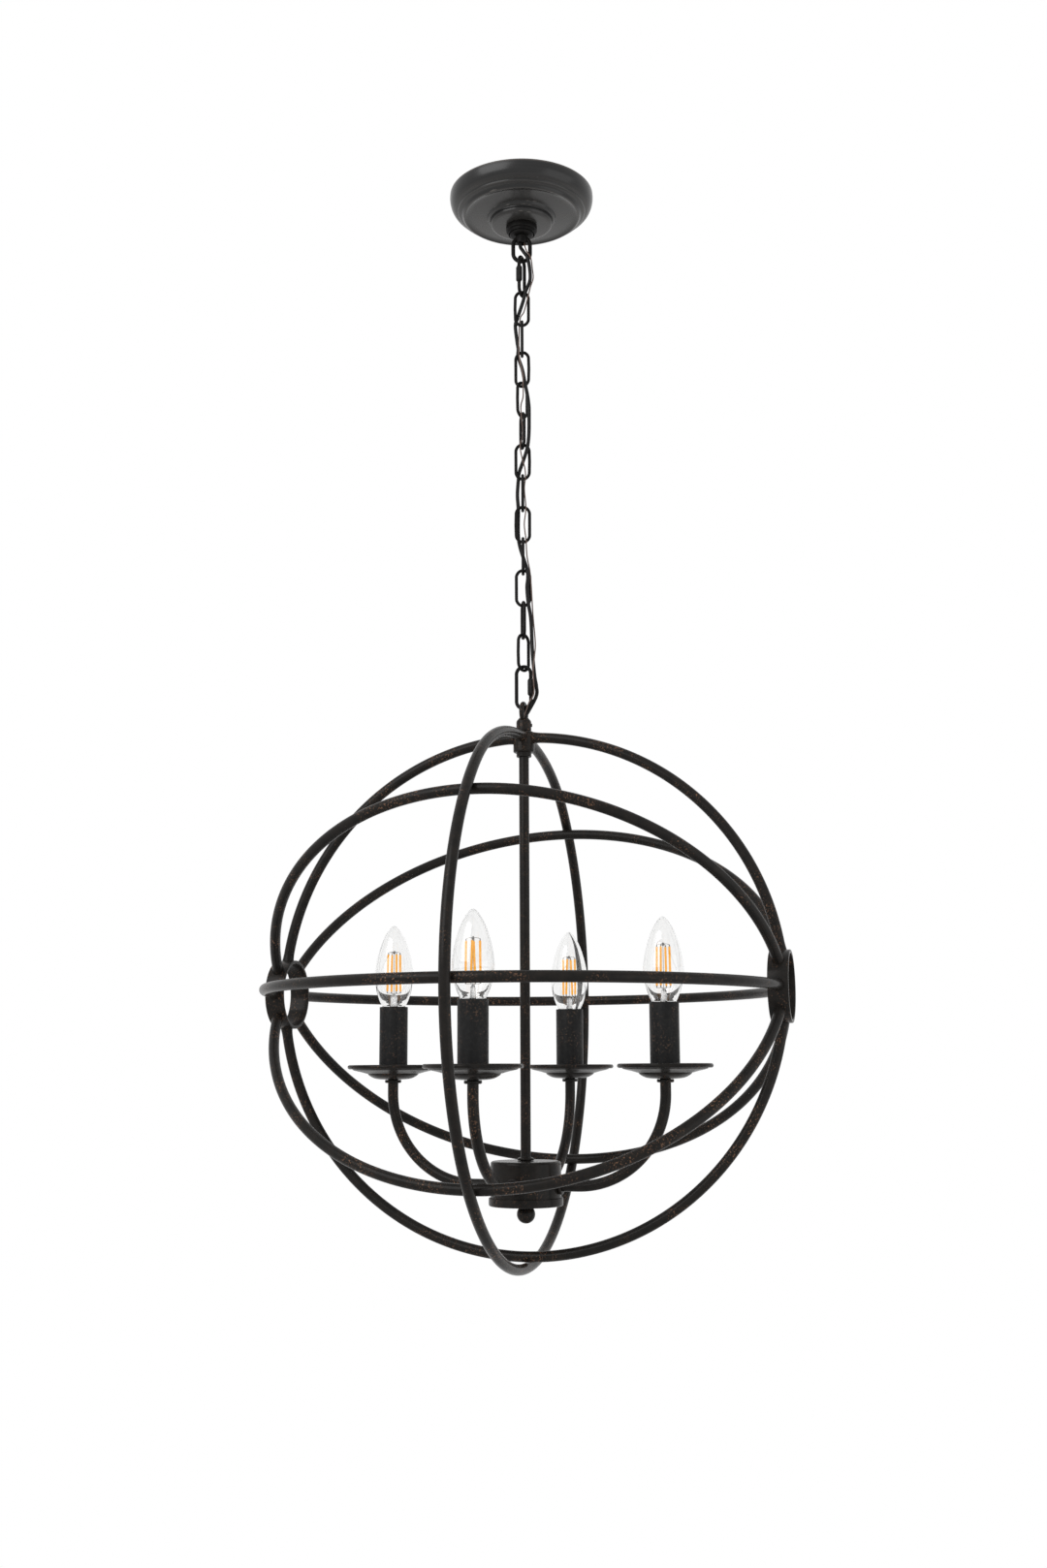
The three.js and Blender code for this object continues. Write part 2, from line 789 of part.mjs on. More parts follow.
// Ball, body and lights hang about the ball's centre
const ball = new THREE.Group();
ball.position.z = ballCentre;
chandelier.add(ball);
place("cross_ring", crossRingGeometry(), bronze, ball);
place("level_arc_back", halfArcGeometry(0), bronze, ball);
place("level_arc_front", halfArcGeometry(halfTurn), bronze, ball);
place("top_arc_right", topArcGeometry(1), bronze, ball);
place("top_arc_left", topArcGeometry(-1), bronze, ball);
place("bottom_arc", halfArcGeometry(-90), bronze, ball);
place("upper_arc_back", halfArcGeometry(slantTurn), bronze, ball);
place("upper_arc_front", halfArcGeometry(halfTurn - upperSlantTurn), bronze, ball);
place("lower_arc_back", halfArcGeometry(-upperSlantTurn), bronze, ball);
place("lower_arc_front", halfArcGeometry(halfTurn + slantTurn), bronze, ball);
place("end_collar_right", endCollarGeometry(), bronze, ball).position.x = endCollarPlace;
place("end_collar_left", endCollarGeometry(), bronze, ball).position.x = -endCollarPlace;
place("centre_tube", stemGeometry(), bronze, ball);
place("body_cup", bodyCupGeometry(), bronze, ball);
place("body_cover", bodyCoverGeometry(), bronze, ball);
place("ball_finial", finialGeometry(), bronze, ball);
for (const [side, turn] of Object.entries(lightTurns)) {
  place("arm_" + side, armGeometry(), bronze, ball, 0, turn);
  place("drip_pan_" + side, panGeometry(), bronze, ball, 0, turn);
  place("candle_sleeve_" + side, sleeveGeometry(), sleeveBlack, ball, 0, turn);
  place("socket_" + side, socketGeometry(), porcelain, ball, 0, turn);
  place("bulb_" + side, bulbGeometry(), glass, ball, 0, turn);
}

// Cord and ground wire, from inside the nipple to the centre tube
function along(route) {
  return new THREE.CatmullRomCurve3(route.map(([x, y, z]) => new THREE.Vector3(x, y, z)));
}

const cordGeometry = bar(along(cordRoute), cordRadius, cordSteps, cordSides);
const groundGeometry = bar(along(groundRoute), groundRadius, groundSteps, cordSides);
place("supply_cord", cordGeometry, jacket, chandelier, 0, eyeTurn);
place("ground_wire", groundGeometry, copper, chandelier, 0, eyeTurn);

export default chandelier;
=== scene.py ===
import json
import math
import bpy
from mathutils import Matrix, Vector

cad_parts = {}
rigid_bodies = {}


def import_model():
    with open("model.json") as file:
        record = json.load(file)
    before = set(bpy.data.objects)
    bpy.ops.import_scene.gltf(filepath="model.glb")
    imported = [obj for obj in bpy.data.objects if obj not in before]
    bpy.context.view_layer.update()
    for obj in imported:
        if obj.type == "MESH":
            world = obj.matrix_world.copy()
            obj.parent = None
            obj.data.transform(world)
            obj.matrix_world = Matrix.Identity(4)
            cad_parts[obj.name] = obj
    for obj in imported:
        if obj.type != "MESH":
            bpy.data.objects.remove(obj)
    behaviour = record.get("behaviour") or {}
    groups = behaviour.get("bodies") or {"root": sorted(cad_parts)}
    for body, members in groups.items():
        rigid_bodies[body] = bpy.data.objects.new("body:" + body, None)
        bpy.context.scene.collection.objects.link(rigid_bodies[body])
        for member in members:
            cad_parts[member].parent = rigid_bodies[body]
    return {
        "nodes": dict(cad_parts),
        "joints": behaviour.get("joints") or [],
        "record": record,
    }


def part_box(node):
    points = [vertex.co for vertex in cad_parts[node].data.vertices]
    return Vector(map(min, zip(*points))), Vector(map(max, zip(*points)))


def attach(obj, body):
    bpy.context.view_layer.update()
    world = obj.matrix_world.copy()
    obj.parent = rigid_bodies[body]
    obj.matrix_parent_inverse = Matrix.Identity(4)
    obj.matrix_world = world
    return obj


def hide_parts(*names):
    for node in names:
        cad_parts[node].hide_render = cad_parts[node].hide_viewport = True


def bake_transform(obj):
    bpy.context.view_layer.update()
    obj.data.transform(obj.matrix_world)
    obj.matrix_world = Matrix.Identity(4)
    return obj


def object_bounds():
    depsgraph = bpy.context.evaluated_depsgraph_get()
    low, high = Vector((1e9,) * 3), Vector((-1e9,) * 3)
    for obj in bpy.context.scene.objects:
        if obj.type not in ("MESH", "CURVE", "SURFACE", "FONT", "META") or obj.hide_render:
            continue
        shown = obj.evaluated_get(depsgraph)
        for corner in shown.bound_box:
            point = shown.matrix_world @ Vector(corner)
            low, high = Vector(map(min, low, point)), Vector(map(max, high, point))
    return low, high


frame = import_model()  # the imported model: its bodies, nodes, joints and record
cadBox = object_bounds()
record = frame["record"]
bodyOf = {node: body for body, members in record["behaviour"]["bodies"].items() for node in members}
mm = 0.001
fullTurn = 2 * math.pi
# Roundings and bevels of edges, from a just broken edge to a full one
crisp, thin, light, soft, eased, full, deep = (size * mm for size in (0.2, 0.3, 0.4, 0.5, 0.6, 0.8, 1.2))
lookFrom = math.radians(14.73)  # how far the photo's camera stands round from the front, to the right


def middle(node):
    low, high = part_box(node)
    return (low + high) / 2


def span(node):
    low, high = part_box(node)
    return high - low


ballCentre = middle("level_arc_front").z
print("frame loaded:", len(frame["nodes"]), "nodes, ball centre at", round(ballCentre, 4))

# Camera: it stands low, looks a little up, and takes in the whole lamp
cameraSet = {
    "photoHeight": 1618,
    "focalPixels": 1713.2,
    "distance": 1.4633,
    "underBall": 0.0695,
    "pitch": 9.815,
    "roll": -0.26,
    "yaw": -0.02,
    "sensor": 36.0,
    "clip": (0.02, 40),
}


def makeCamera(look):
    yaw, pitch, roll = (math.radians(look[k]) for k in ("yaw", "pitch", "roll"))
    ahead = Vector((math.sin(yaw) * math.cos(pitch), math.cos(yaw) * math.cos(pitch), math.sin(pitch)))
    right = Vector((math.cos(yaw), -math.sin(yaw), 0))
    above = right.cross(ahead)
    rightRolled = right * math.cos(roll) + above * math.sin(roll)
    aboveRolled = above * math.cos(roll) - right * math.sin(roll)
    turn = Matrix.Rotation(lookFrom, 3, "Z")
    axes = [turn @ v for v in (rightRolled, aboveRolled, -ahead)]
    data = bpy.data.cameras.new("photoCamera")
    data.sensor_width = look["sensor"]
    data.lens = look["focalPixels"] / look["photoHeight"] * look["sensor"]
    data.clip_start, data.clip_end = look["clip"]
    camera = bpy.data.objects.new("photoCamera", data)
    camera.matrix_world = Matrix(axes).transposed().to_4x4()
    camera.location = turn @ Vector((0, -look["distance"], ballCentre - look["underBall"]))
    bpy.context.scene.collection.objects.link(camera)
    bpy.context.scene.camera = camera


makeCamera(cameraSet)
print("camera placed")


# Materials: each one is a small tree on Object coordinates. A noise is given by its scale, the two
# values that become 0 and 1, and sometimes its detail.
def newFinish(name):
    made = bpy.data.materials.new(name)
    made.use_nodes = True
    made.node_tree.nodes.clear()
    out = made.node_tree.nodes.new("ShaderNodeOutputMaterial")
    shader = made.node_tree.nodes.new("ShaderNodeBsdfPrincipled")
    made.node_tree.links.new(shader.outputs[0], out.inputs[0])
    return made, made.node_tree, shader


def feed(tree, socket, value):
    if isinstance(value, bpy.types.NodeSocket):
        tree.links.new(value, socket)
    else:
        socket.default_value = value


def give(tree, made, **inputs):
    for key, value in inputs.items():
        feed(tree, made.inputs[key.replace("_", " ")], value)
    return made


def node(tree, kind, settings=None, **inputs):
    made = tree.nodes.new(kind)
    for key, value in (settings or {}).items():
        setattr(made, key, value)
    return give(tree, made, **inputs)


def maths(tree, operation, *values):
    made = node(tree, "ShaderNodeMath", {"operation": operation})
    for socket, value in zip(made.inputs, values):
        feed(tree, socket, value)
    return made.outputs[0]


def times(tree, first, second):
    return maths(tree, "MULTIPLY", first, second)


def fromRange(tree, value, low, high):  # low to high becomes 0 to 1
    return node(tree, "ShaderNodeMapRange", Value=value, From_Min=low, From_Max=high).outputs["Result"]


def toRange(tree, value, start, stop):  # 0 to 1 becomes start to stop
    return node(tree, "ShaderNodeMapRange", Value=value, To_Min=start, To_Max=stop).outputs["Result"]


def objectPlace(tree):
    return tree.nodes.new("ShaderNodeTexCoord").outputs["Object"]


def speckle(tree, place, scale, low, high, detail=3.0, rough=0.6):
    grain = node(tree, "ShaderNodeTexNoise", Vector=place, Scale=scale, Detail=detail, Roughness=rough)
    return fromRange(tree, grain.outputs["Fac"], low, high)


def blendColour(tree, share, first, second):
    made = node(tree, "ShaderNodeMix", {"data_type": "RGBA"}, Factor=share)
    for socket, value in zip((s for s in made.inputs if s.type == "RGBA"), (first, second)):
        feed(tree, socket, value if isinstance(value, bpy.types.NodeSocket) else (*value, 1))
    return next(s for s in made.outputs if s.type == "RGBA")


def relief(tree, shader, height, strength, depth):
    bump = node(tree, "ShaderNodeBump", Strength=strength, Distance=depth, Height=height)
    tree.links.new(bump.outputs[0], shader.inputs["Normal"])


bronzeSet = {
    "base": (0.0073, 0.0067, 0.0061),
    "cloud": (0.0142, 0.0115, 0.0096),
    "rub": (0.2, 0.107, 0.062),
    "rodShare": 0.85,  # how much copper shows in a fleck, on the rods and on the middle parts
    "bodyShare": 0.45,
    "flecks": (640, 0.56, 0.68),
    "patches": (34, 0.49, 0.62, 2.0),
    "clouds": (150, 0.35, 0.75),
    "pits": (820, 0.3, 0.8, 4.0),
    "pitStrength": 0.35,
    "pitDepth": 0.0003,
    "rough": (0.6, 0.42),  # between the flecks and on them
    "shine": 0.05,
    "coat": 0.6,
    "coatRough": 0.2,
    "coatIndex": 1.22,
}


def rubbedBronze(name, look, rubShare):
    made, tree, shader = newFinish(name)
    place = objectPlace(tree)
    flecks, patches, clouds, pits = (
        speckle(tree, place, *look[kind]) for kind in ("flecks", "patches", "clouds", "pits")
    )
    dark = blendColour(tree, clouds, look["base"], look["cloud"])
    share = times(tree, times(tree, flecks, patches), rubShare)
    give(
        tree, shader, Base_Color=blendColour(tree, share, dark, look["rub"]),
        Roughness=toRange(tree, flecks, *look["rough"]), Specular_IOR_Level=look["shine"],
        Coat_Weight=look["coat"], Coat_Roughness=look["coatRough"], Coat_IOR=look["coatIndex"],
    )
    relief(tree, shader, pits, look["pitStrength"], look["pitDepth"])
    return made


canopySet = {
    "base": (0.0075, 0.0074, 0.0076),
    "flat": (0.027, 0.0258, 0.0246),  # painted light from below: the lighter colour of the stretches that face down
    "pale": (0.085, 0.077, 0.070),  # pale edges: partly wear, partly a painted highlight along the convex edges
    "warm": (0.036, 0.0285, 0.0235),
    # how much a surface faces down, which sets the painted light from below
    "down": (-0.6, -0.97),
    "edge": (0.505, 0.55),
    # how pale the convex edges get, from wear and painted highlight
    "paleShare": 0.8,
    "warmShare": 0.55,
    "patches": (26, 0.5, 0.75, 2.0),
    "clouds": (60, 0.35, 0.75, 4.0),
    "grain": (900, 0.2, 0.8),
    "grainStrength": 0.08,
    "grainDepth": 0.0002,
    "rough": (0.22, 0.3),
    "shine": 0.33,
}


def canopyFinish(look):
    made, tree, shader = newFinish("canopyBronze")
    place = objectPlace(tree)
    clouds, patches, grain = (speckle(tree, place, *look[kind]) for kind in ("clouds", "patches", "grain"))
    facing = tree.nodes.new("ShaderNodeTexCoord").outputs["Normal"]
    # Painted light from below: surfaces that face down take the lighter flat colour, with warm patches at
    # random, and the rest keep the darker base
    down = fromRange(tree, node(tree, "ShaderNodeSeparateXYZ", Vector=facing).outputs["Z"], *look["down"])
    flat = blendColour(tree, times(tree, patches, look["warmShare"]), look["flat"], look["warm"])
    # Convex edges are paled: partly wear, partly a painted highlight
    edge = node(tree, "ShaderNodeNewGeometry").outputs["Pointiness"]
    wearAndHighlight = times(tree, fromRange(tree, edge, *look["edge"]), look["paleShare"])
    colour = blendColour(tree, wearAndHighlight, blendColour(tree, down, look["base"], flat), look["pale"])
    give(
        tree, shader, Base_Color=colour, Roughness=toRange(tree, clouds, *look["rough"]),
        Specular_IOR_Level=look["shine"],
    )
    relief(tree, shader, grain, look["grainStrength"], look["grainDepth"])
    return made


plainSet = {
    "chainBlack": {
        "base": (0.0035, 0.0033, 0.0032), "other": (0.0075, 0.0063, 0.0056),
        "rough": (0.5, 0.36), "scale": 420, "shine": 0.1,
    },
    "sleeveBlack": {
        "base": (0.0095, 0.0095, 0.0098), "other": (0.0135, 0.0135, 0.0135), "rub": (0.075, 0.048, 0.034),
        "rough": (0.66, 0.5), "scale": 300, "shine": 0.08, "coat": 0.3,
    },
    "zincPlate": {
        "base": (0.42, 0.42, 0.4), "other": (0.3, 0.3, 0.29),
        "rough": (0.48, 0.3), "scale": 240, "metal": 1.0,
    },
    "porcelain": {
        "base": (0.7, 0.68, 0.62), "other": (0.6, 0.57, 0.5), "rough": (0.32, 0.2), "scale": 90,
    },
    "nickel": {
        "base": (0.5, 0.48, 0.44), "other": (0.35, 0.33, 0.3),
        "rough": (0.38, 0.2), "scale": 300, "metal": 1.0,
    },
    "cordBlack": {
        "base": (0.0045, 0.0045, 0.0045), "other": (0.008, 0.0077, 0.0077),
        "rough": (0.52, 0.38), "scale": 500, "shine": 0.16,
    },
    "groundCopper": {
        "base": (0.105, 0.062, 0.046), "other": (0.06, 0.042, 0.036), "rough": (0.5, 0.35), "scale": 500,
    },
    "supportWire": {
        "base": (0.16, 0.16, 0.16), "other": (0.3, 0.3, 0.3), "rough": (0.4, 0.3), "scale": 900,
    },
}
# What a plain finish has where it says nothing else
plainUsual = {
    "metal": 0.0,
    "shine": 0.45,
    "coat": 0.0,
    "coatRough": 0.22,
    "coatIndex": 1.26,
    "grain": (0.42, 0.72),
    "flecks": (520, 0.55, 0.68),
    "patches": (60, 0.42, 0.62, 2.0),
    "finer": 2,
    "fineGrain": (0.2, 0.8),
    "grainStrength": 0.15,
    "grainDepth": 0.0002,
}


def plainFinish(name, own):
    look = {**plainUsual, **own}
    made, tree, shader = newFinish(name)
    place = objectPlace(tree)
    grain = speckle(tree, place, look["scale"], *look["grain"])
    fine = speckle(tree, place, look["scale"] * look["finer"], *look["fineGrain"])
    colour = blendColour(tree, grain, look["base"], look["other"])
    if "rub" in look:
        flecks = times(tree, speckle(tree, place, *look["flecks"]), speckle(tree, place, *look["patches"]))
        colour = blendColour(tree, flecks, colour, look["rub"])
    give(
        tree, shader, Base_Color=colour, Roughness=toRange(tree, grain, *look["rough"]),
        Metallic=look["metal"], Specular_IOR_Level=look["shine"],
        Coat_Weight=look["coat"], Coat_Roughness=look["coatRough"], Coat_IOR=look["coatIndex"],
    )
    relief(tree, shader, fine, look["grainStrength"], look["grainDepth"])
    return made


glassSet = {
    "tint": (0.95, 0.95, 0.947),
    "index": 1.42,
    "stemTint": (0.9, 0.905, 0.91),
    "stemIndex": 1.45,
    "crinkle": {"noise": (700, 0.3, 0.7), "strength": 0.6, "depth": 0.0006},
}


def clearGlass(name, tint, index, crinkle=None):
    made, tree, shader = newFinish(name)
    give(tree, shader, Base_Color=(*tint, 1), Transmission_Weight=1.0, Roughness=0.0, IOR=index)
    if crinkle:
        folds = speckle(tree, objectPlace(tree), *crinkle["noise"])
        relief(tree, shader, folds, crinkle["strength"], crinkle["depth"])
    return made


filamentSet = {
    "core": (0.96, 0.39, 0.03),
    "end": (0.98, 0.49, 0.07),
    "grain": (420, 0.35, 0.7),
    "strength": 1.0,
    "unlit": (0.02, 0.012, 0.004),
    "rough": 0.8,
}


def filamentFinish(look):
    made, tree, shader = newFinish("filamentGlow")
    grain = speckle(tree, objectPlace(tree), *look["grain"])
    give(
        tree, shader, Emission_Color=blendColour(tree, grain, look["core"], look["end"]),
        Emission_Strength=look["strength"], Base_Color=(*look["unlit"], 1), Roughness=look["rough"],
        Specular_IOR_Level=0.0,
    )
    return made


bronze = rubbedBronze("rubbedBronze", bronzeSet, bronzeSet["rodShare"])
bodyBronze = rubbedBronze("bodyBronze", bronzeSet, bronzeSet["bodyShare"])
canopyBronze = canopyFinish(canopySet)
finishes = {name: plainFinish(name, look) for name, look in plainSet.items()}
bulbGlass = clearGlass("bulbGlass", glassSet["tint"], glassSet["index"])
stemGlass = clearGlass("stemGlass", glassSet["stemTint"], glassSet["stemIndex"], glassSet["crinkle"])
filamentGlow = filamentFinish(filamentSet)
print("finishes made:", len(bpy.data.materials))


# Mesh helpers
def newPiece(name, points, faces, finish, edges=()):
    mesh = bpy.data.meshes.new(name)
    mesh.from_pydata([tuple(p) for p in points], edges, faces)
    mesh.materials.append(finish)
    piece = bpy.data.objects.new(name, mesh)
    bpy.context.scene.collection.objects.link(piece)
    return piece


def smooth(piece, angle=35):
    piece.data.shade_smooth()
    piece.data.set_sharp_from_angle(angle=math.radians(angle))
    return piece


def placed(piece, matrix):
    piece.data.transform(matrix)
    return piece


mostRound = 0.48  # the largest share of a side that one rounding takes
onAxis = 1e-7  # a point of an outline as near as this is on the axis


def circle(radius, count):
    angles = [fullTurn * k / count for k in range(count)]
    return [(radius * math.cos(a), radius * math.sin(a)) for a in angles]


def roundCorners(corners, steps=4):
    line = []
    for i, (radius, height, *fillet) in enumerate(corners):
        here = Vector((radius, height))
        if not fillet:
            line.append(here)
            continue
        back = Vector(corners[i - 1][:2]) - here
        on = Vector(corners[(i + 1) % len(corners)][:2]) - here
        first = here + back.normalized() * min(fillet[0], back.length * mostRound)
        last = here + on.normalized() * min(fillet[0], on.length * mostRound)
        for k in range(steps + 1):
            t = k / steps
            line.append(first * (1 - t) ** 2 + here * 2 * t * (1 - t) + last * t * t)
    return line


def turned(name, corners, finish, centre=(0, 0), segments=96, steps=4, angle=35):
    line = roundCorners(corners, steps)
    if sum(a.x * b.y - b.x * a.y for a, b in zip(line, line[1:] + line[:1])) < 0:
        line.reverse()
    points, rows = [], []
    for p in line:
        count = 1 if p.x < onAxis else segments
        rows.append([len(points) + k % count for k in range(segments)])
        for k in range(count):
            a = fullTurn * k / segments
            points.append((centre[0] + p.x * math.cos(a), centre[1] + p.x * math.sin(a), p.y))
    faces = []
    for low, high in zip(rows, rows[1:] + rows[:1]):
        for k in range(segments):
            ring = [low[k], low[(k + 1) % segments], high[(k + 1) % segments], high[k]]
            face = list(dict.fromkeys(ring))
            if len(face) > 2:
                faces.append(face)
    return smooth(newPiece(name, points, faces, finish), angle)


def smoothLine(points, steps):
    line = []
    for i in range(len(points) - 1):
        a, b = Vector(points[max(i - 1, 0)]), Vector(points[i])
        c, d = Vector(points[i + 1]), Vector(points[min(i + 2, len(points) - 1)])
        turn, sway = 2 * a - 5 * b + 4 * c - d, 3 * b - a - 3 * c + d
        for k in range(steps):
            t = k / steps
            line.append(0.5 * ((2 * b) + (c - a) * t + turn * t * t + sway * t ** 3))
    line.append(Vector(points[-1]))
    return line


def gather(name, parts, finish):
    points, faces = [], []
    for part in parts:
        start = len(points)
        points += [v.co.copy() for v in part.data.vertices]
        faces += [[start + i for i in face.vertices] for face in part.data.polygons]
        bpy.data.objects.remove(part)
    return smooth(newPiece(name, points, faces, finish))


def standFor(piece, *nodes):
    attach(piece, bodyOf[nodes[0]])
    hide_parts(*nodes)
    return piece


def addTo(piece, node):
    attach(piece, bodyOf[node])
    return piece


def pieceName(node):
    first, *others = node.split("_")
    return first + "".join(word.title() for word in others)


def standTurned(node, corners, finish, move=Matrix.Identity(4), **shape):
    return standFor(placed(turned(pieceName(node), corners, finish, **shape), move), node)


# Geometry Nodes: a tube along a path, and an oval link
def newTree(name, inputs):
    tree = bpy.data.node_groups.new(name, "GeometryNodeTree")
    tree.interface.new_socket("Geometry", in_out="INPUT", socket_type="NodeSocketGeometry")
    for label, kind, value in inputs:
        socket = tree.interface.new_socket(label, in_out="INPUT", socket_type=kind)
        if value is not None:
            socket.default_value = value
    tree.interface.new_socket("Geometry", in_out="OUTPUT", socket_type="NodeSocketGeometry")
    return tree, tree.nodes.new("NodeGroupInput").outputs


def endTree(tree, made, material):
    shade = node(tree, "GeometryNodeSetShadeSmooth", Geometry=made)
    real = node(tree, "GeometryNodeRealizeInstances", Geometry=shade.outputs[0])
    coat = node(tree, "GeometryNodeSetMaterial", Geometry=real.outputs[0], Material=material)
    tree.links.new(coat.outputs[0], tree.nodes.new("NodeGroupOutput").inputs[0])
    return tree


def sectionCurve(tree, radius, sides):
    return node(tree, "GeometryNodeCurvePrimitiveCircle", Radius=radius, Resolution=sides).outputs[0]


def makeWireTree():
    tree, given = newTree(
        "wireAlongPath",
        [
            ("Wire radius", "NodeSocketFloat", 0.004),
            ("Sides", "NodeSocketInt", 24),
            ("Material", "NodeSocketMaterial", None),
        ],
    )
    path = node(tree, "GeometryNodeMeshToCurve", Mesh=given["Geometry"]).outputs[0]
    swell = node(tree, "GeometryNodeInputNamedAttribute", Name="swell").outputs["Attribute"]
    section = sectionCurve(tree, given["Wire radius"], given["Sides"])
    tube = node(
        tree, "GeometryNodeCurveToMesh", Curve=path, Profile_Curve=section, Scale=swell, Fill_Caps=True
    ).outputs[0]
    return endTree(tree, tube, given["Material"])


def pointPlace(tree):
    place = tree.nodes.new("GeometryNodeInputPosition").outputs[0]
    return node(tree, "ShaderNodeSeparateXYZ", Vector=place).outputs


def moved(tree, shape, **offset):
    shift = node(tree, "ShaderNodeCombineXYZ", **offset).outputs[0]
    return node(tree, "GeometryNodeSetPosition", Geometry=shape, Offset=shift).outputs[0]


# A circle is parted at its middle by the legs, and its ends are drawn in a little
def makeLinkTree():
    tree, given = newTree(
        "ovalLink",
        [
            ("Bend radius", "NodeSocketFloat", 0.0065),
            ("Half leg", "NodeSocketFloat", 0.01),
            ("Wire radius", "NodeSocketFloat", 0.0015),
            ("End squeeze", "NodeSocketFloat", 0.0),
            ("Circle points", "NodeSocketInt", 72),
            ("Oval points", "NodeSocketInt", 150),
            ("Wire sides", "NodeSocketInt", 18),
            ("Material", "NodeSocketMaterial", None),
        ],
    )
    ring = sectionCurve(tree, given["Bend radius"], given["Circle points"])
    side = maths(tree, "SIGN", pointPlace(tree)["Y"])
    oval = moved(tree, ring, Y=times(tree, side, given["Half leg"]))
    drawn = pointPlace(tree)
    inward = times(tree, times(tree, drawn["Y"], drawn["Y"]), given["End squeeze"])
    oval = moved(tree, oval, X=times(tree, times(tree, drawn["X"], inward), -1.0))
    even = node(tree, "GeometryNodeResampleCurve", {"mode": "COUNT"}, Curve=oval, Count=given["Oval points"])
    section = sectionCurve(tree, given["Wire radius"], given["Wire sides"])
    tube = node(tree, "GeometryNodeCurveToMesh", Curve=even.outputs[0], Profile_Curve=section).outputs[0]
    stand = node(tree, "GeometryNodeTransform", Geometry=tube, Rotation=(math.pi / 2, 0, 0)).outputs[0]
    return endTree(tree, stand, given["Material"])


wireTree, linkTree = makeWireTree(), makeLinkTree()


def grown(piece, tree, finish, **inputs):
    step = piece.modifiers.new("grow", "NODES")
    step.node_group = tree
    keys = {s.name: s.identifier for s in tree.interface.items_tree if s.in_out == "INPUT"}
    for label, value in {**inputs, "Material": finish}.items():
        step[keys[label.replace("_", " ")]] = value
    shape = bpy.data.meshes.new_from_object(piece.evaluated_get(bpy.context.evaluated_depsgraph_get()))
    piece.modifiers.remove(step)
    piece.data = shape
    return piece


def wire(name, path, radius, finish, closed=False, sides=24, swell=None):
    count = len(path)
    edges = [(i, (i + 1) % count) for i in range(count if closed else count - 1)]
    piece = newPiece(name, path, [], finish, edges)
    thickness = piece.data.attributes.new("swell", "FLOAT", "POINT")
    thickness.data.foreach_set("value", swell or [1.0] * count)
    grown(piece, wireTree, finish, Wire_radius=radius, Sides=sides)
    return smooth(piece, 50)


print("node trees ready")

# Ceiling strap with its nipple and nut
strapSet = {
    "corner": 3 * mm, "sheet": 2.4 * mm, "bevelShare": 0.05,
    "slotLength": 15 * mm, "slotWidth": 4.6 * mm, "slotRound": 0.98, "slotShare": 0.3,
    "nutRadius": 8 * mm, "nutHeight": 4 * mm, "nutEdge": 0.8 * mm,
    "nippleRadius": 4.8 * mm, "nippleBore": 3.6 * mm, "threadPitch": 1.4 * mm, "threadShare": 0.22,
}


def roundedBar(length, width, corner, steps=6):
    line = []
    for cx, cy, start in ((1, 1, 0), (-1, 1, 1), (-1, -1, 2), (1, -1, 3)):
        for k in range(steps + 1):
            a = (start + k / steps) * math.pi / 2
            x = cx * (length / 2 - corner) + corner * math.cos(a)
            line.append((x, cy * (width / 2 - corner) + corner * math.sin(a)))
    return line


def flatPlate(name, outline, holes, thickness, bevel, finish):
    curve = bpy.data.curves.new(name, "CURVE")
    curve.dimensions, curve.fill_mode, curve.extrude = "2D", "BOTH", thickness / 2 - bevel
    curve.bevel_depth, curve.bevel_resolution, curve.offset = bevel, 1, -bevel
    for line in [outline, *holes]:
        spline = curve.splines.new("POLY")
        spline.points.add(len(line) - 1)
        for point, (x, y) in zip(spline.points, line):
            point.co = (x, y, 0, 1)
        spline.use_cyclic_u = True
    holder = bpy.data.objects.new(name + "Curve", curve)
    bpy.context.scene.collection.objects.link(holder)
    shape = bpy.data.meshes.new_from_object(holder.evaluated_get(bpy.context.evaluated_depsgraph_get()))
    bpy.data.objects.remove(holder)
    piece = bpy.data.objects.new(name, shape)
    bpy.context.scene.collection.objects.link(piece)
    shape.materials.clear()
    shape.materials.append(finish)
    return placed(piece, Matrix.Translation((0, 0, -thickness / 2)))


def makeStrap(look):
    zinc, sheet, bore, pitch = finishes["zincPlate"], look["sheet"], look["nippleBore"], look["threadPitch"]
    size, low = span("mounting_strap"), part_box("mounting_strap")[0].z
    slot = roundedBar(look["slotLength"], look["slotWidth"], look["slotWidth"] / 2 * look["slotRound"])
    shift = size.x * look["slotShare"]
    holes = [[(x + s, y) for x, y in slot] for s in (-shift, shift)] + [circle(bore, 24)]
    outline = roundedBar(size.x, size.y, look["corner"])
    plate = flatPlate("mountingStrap", outline, holes, sheet, sheet * look["bevelShare"], zinc)
    standFor(smooth(plate), "mounting_strap")
    outer, edge, rim = look["nippleRadius"], look["nutEdge"], look["nutRadius"]
    nutTop, nutLow = -sheet, -sheet - look["nutHeight"]
    hexagon = [(outer, nutTop), (rim - edge, nutTop), (rim, nutTop - edge), (rim, nutLow + edge),
               (rim - edge, nutLow), (outer, nutLow)]
    addTo(turned("nippleNut", hexagon, zinc, segments=6), "mounting_strap")
    depth, turns = pitch * look["threadShare"], int((nutLow - low) / pitch)
    thread = [(outer - depth * (k % 2), nutLow - k * pitch / 2) for k in range(2 * turns)]
    profile = [(bore, -crisp), (outer, -crisp), *thread, (outer - depth, low), (bore, low)]
    addTo(turned("nipple", profile, zinc, segments=32), "mounting_strap")


makeStrap(strapSet)

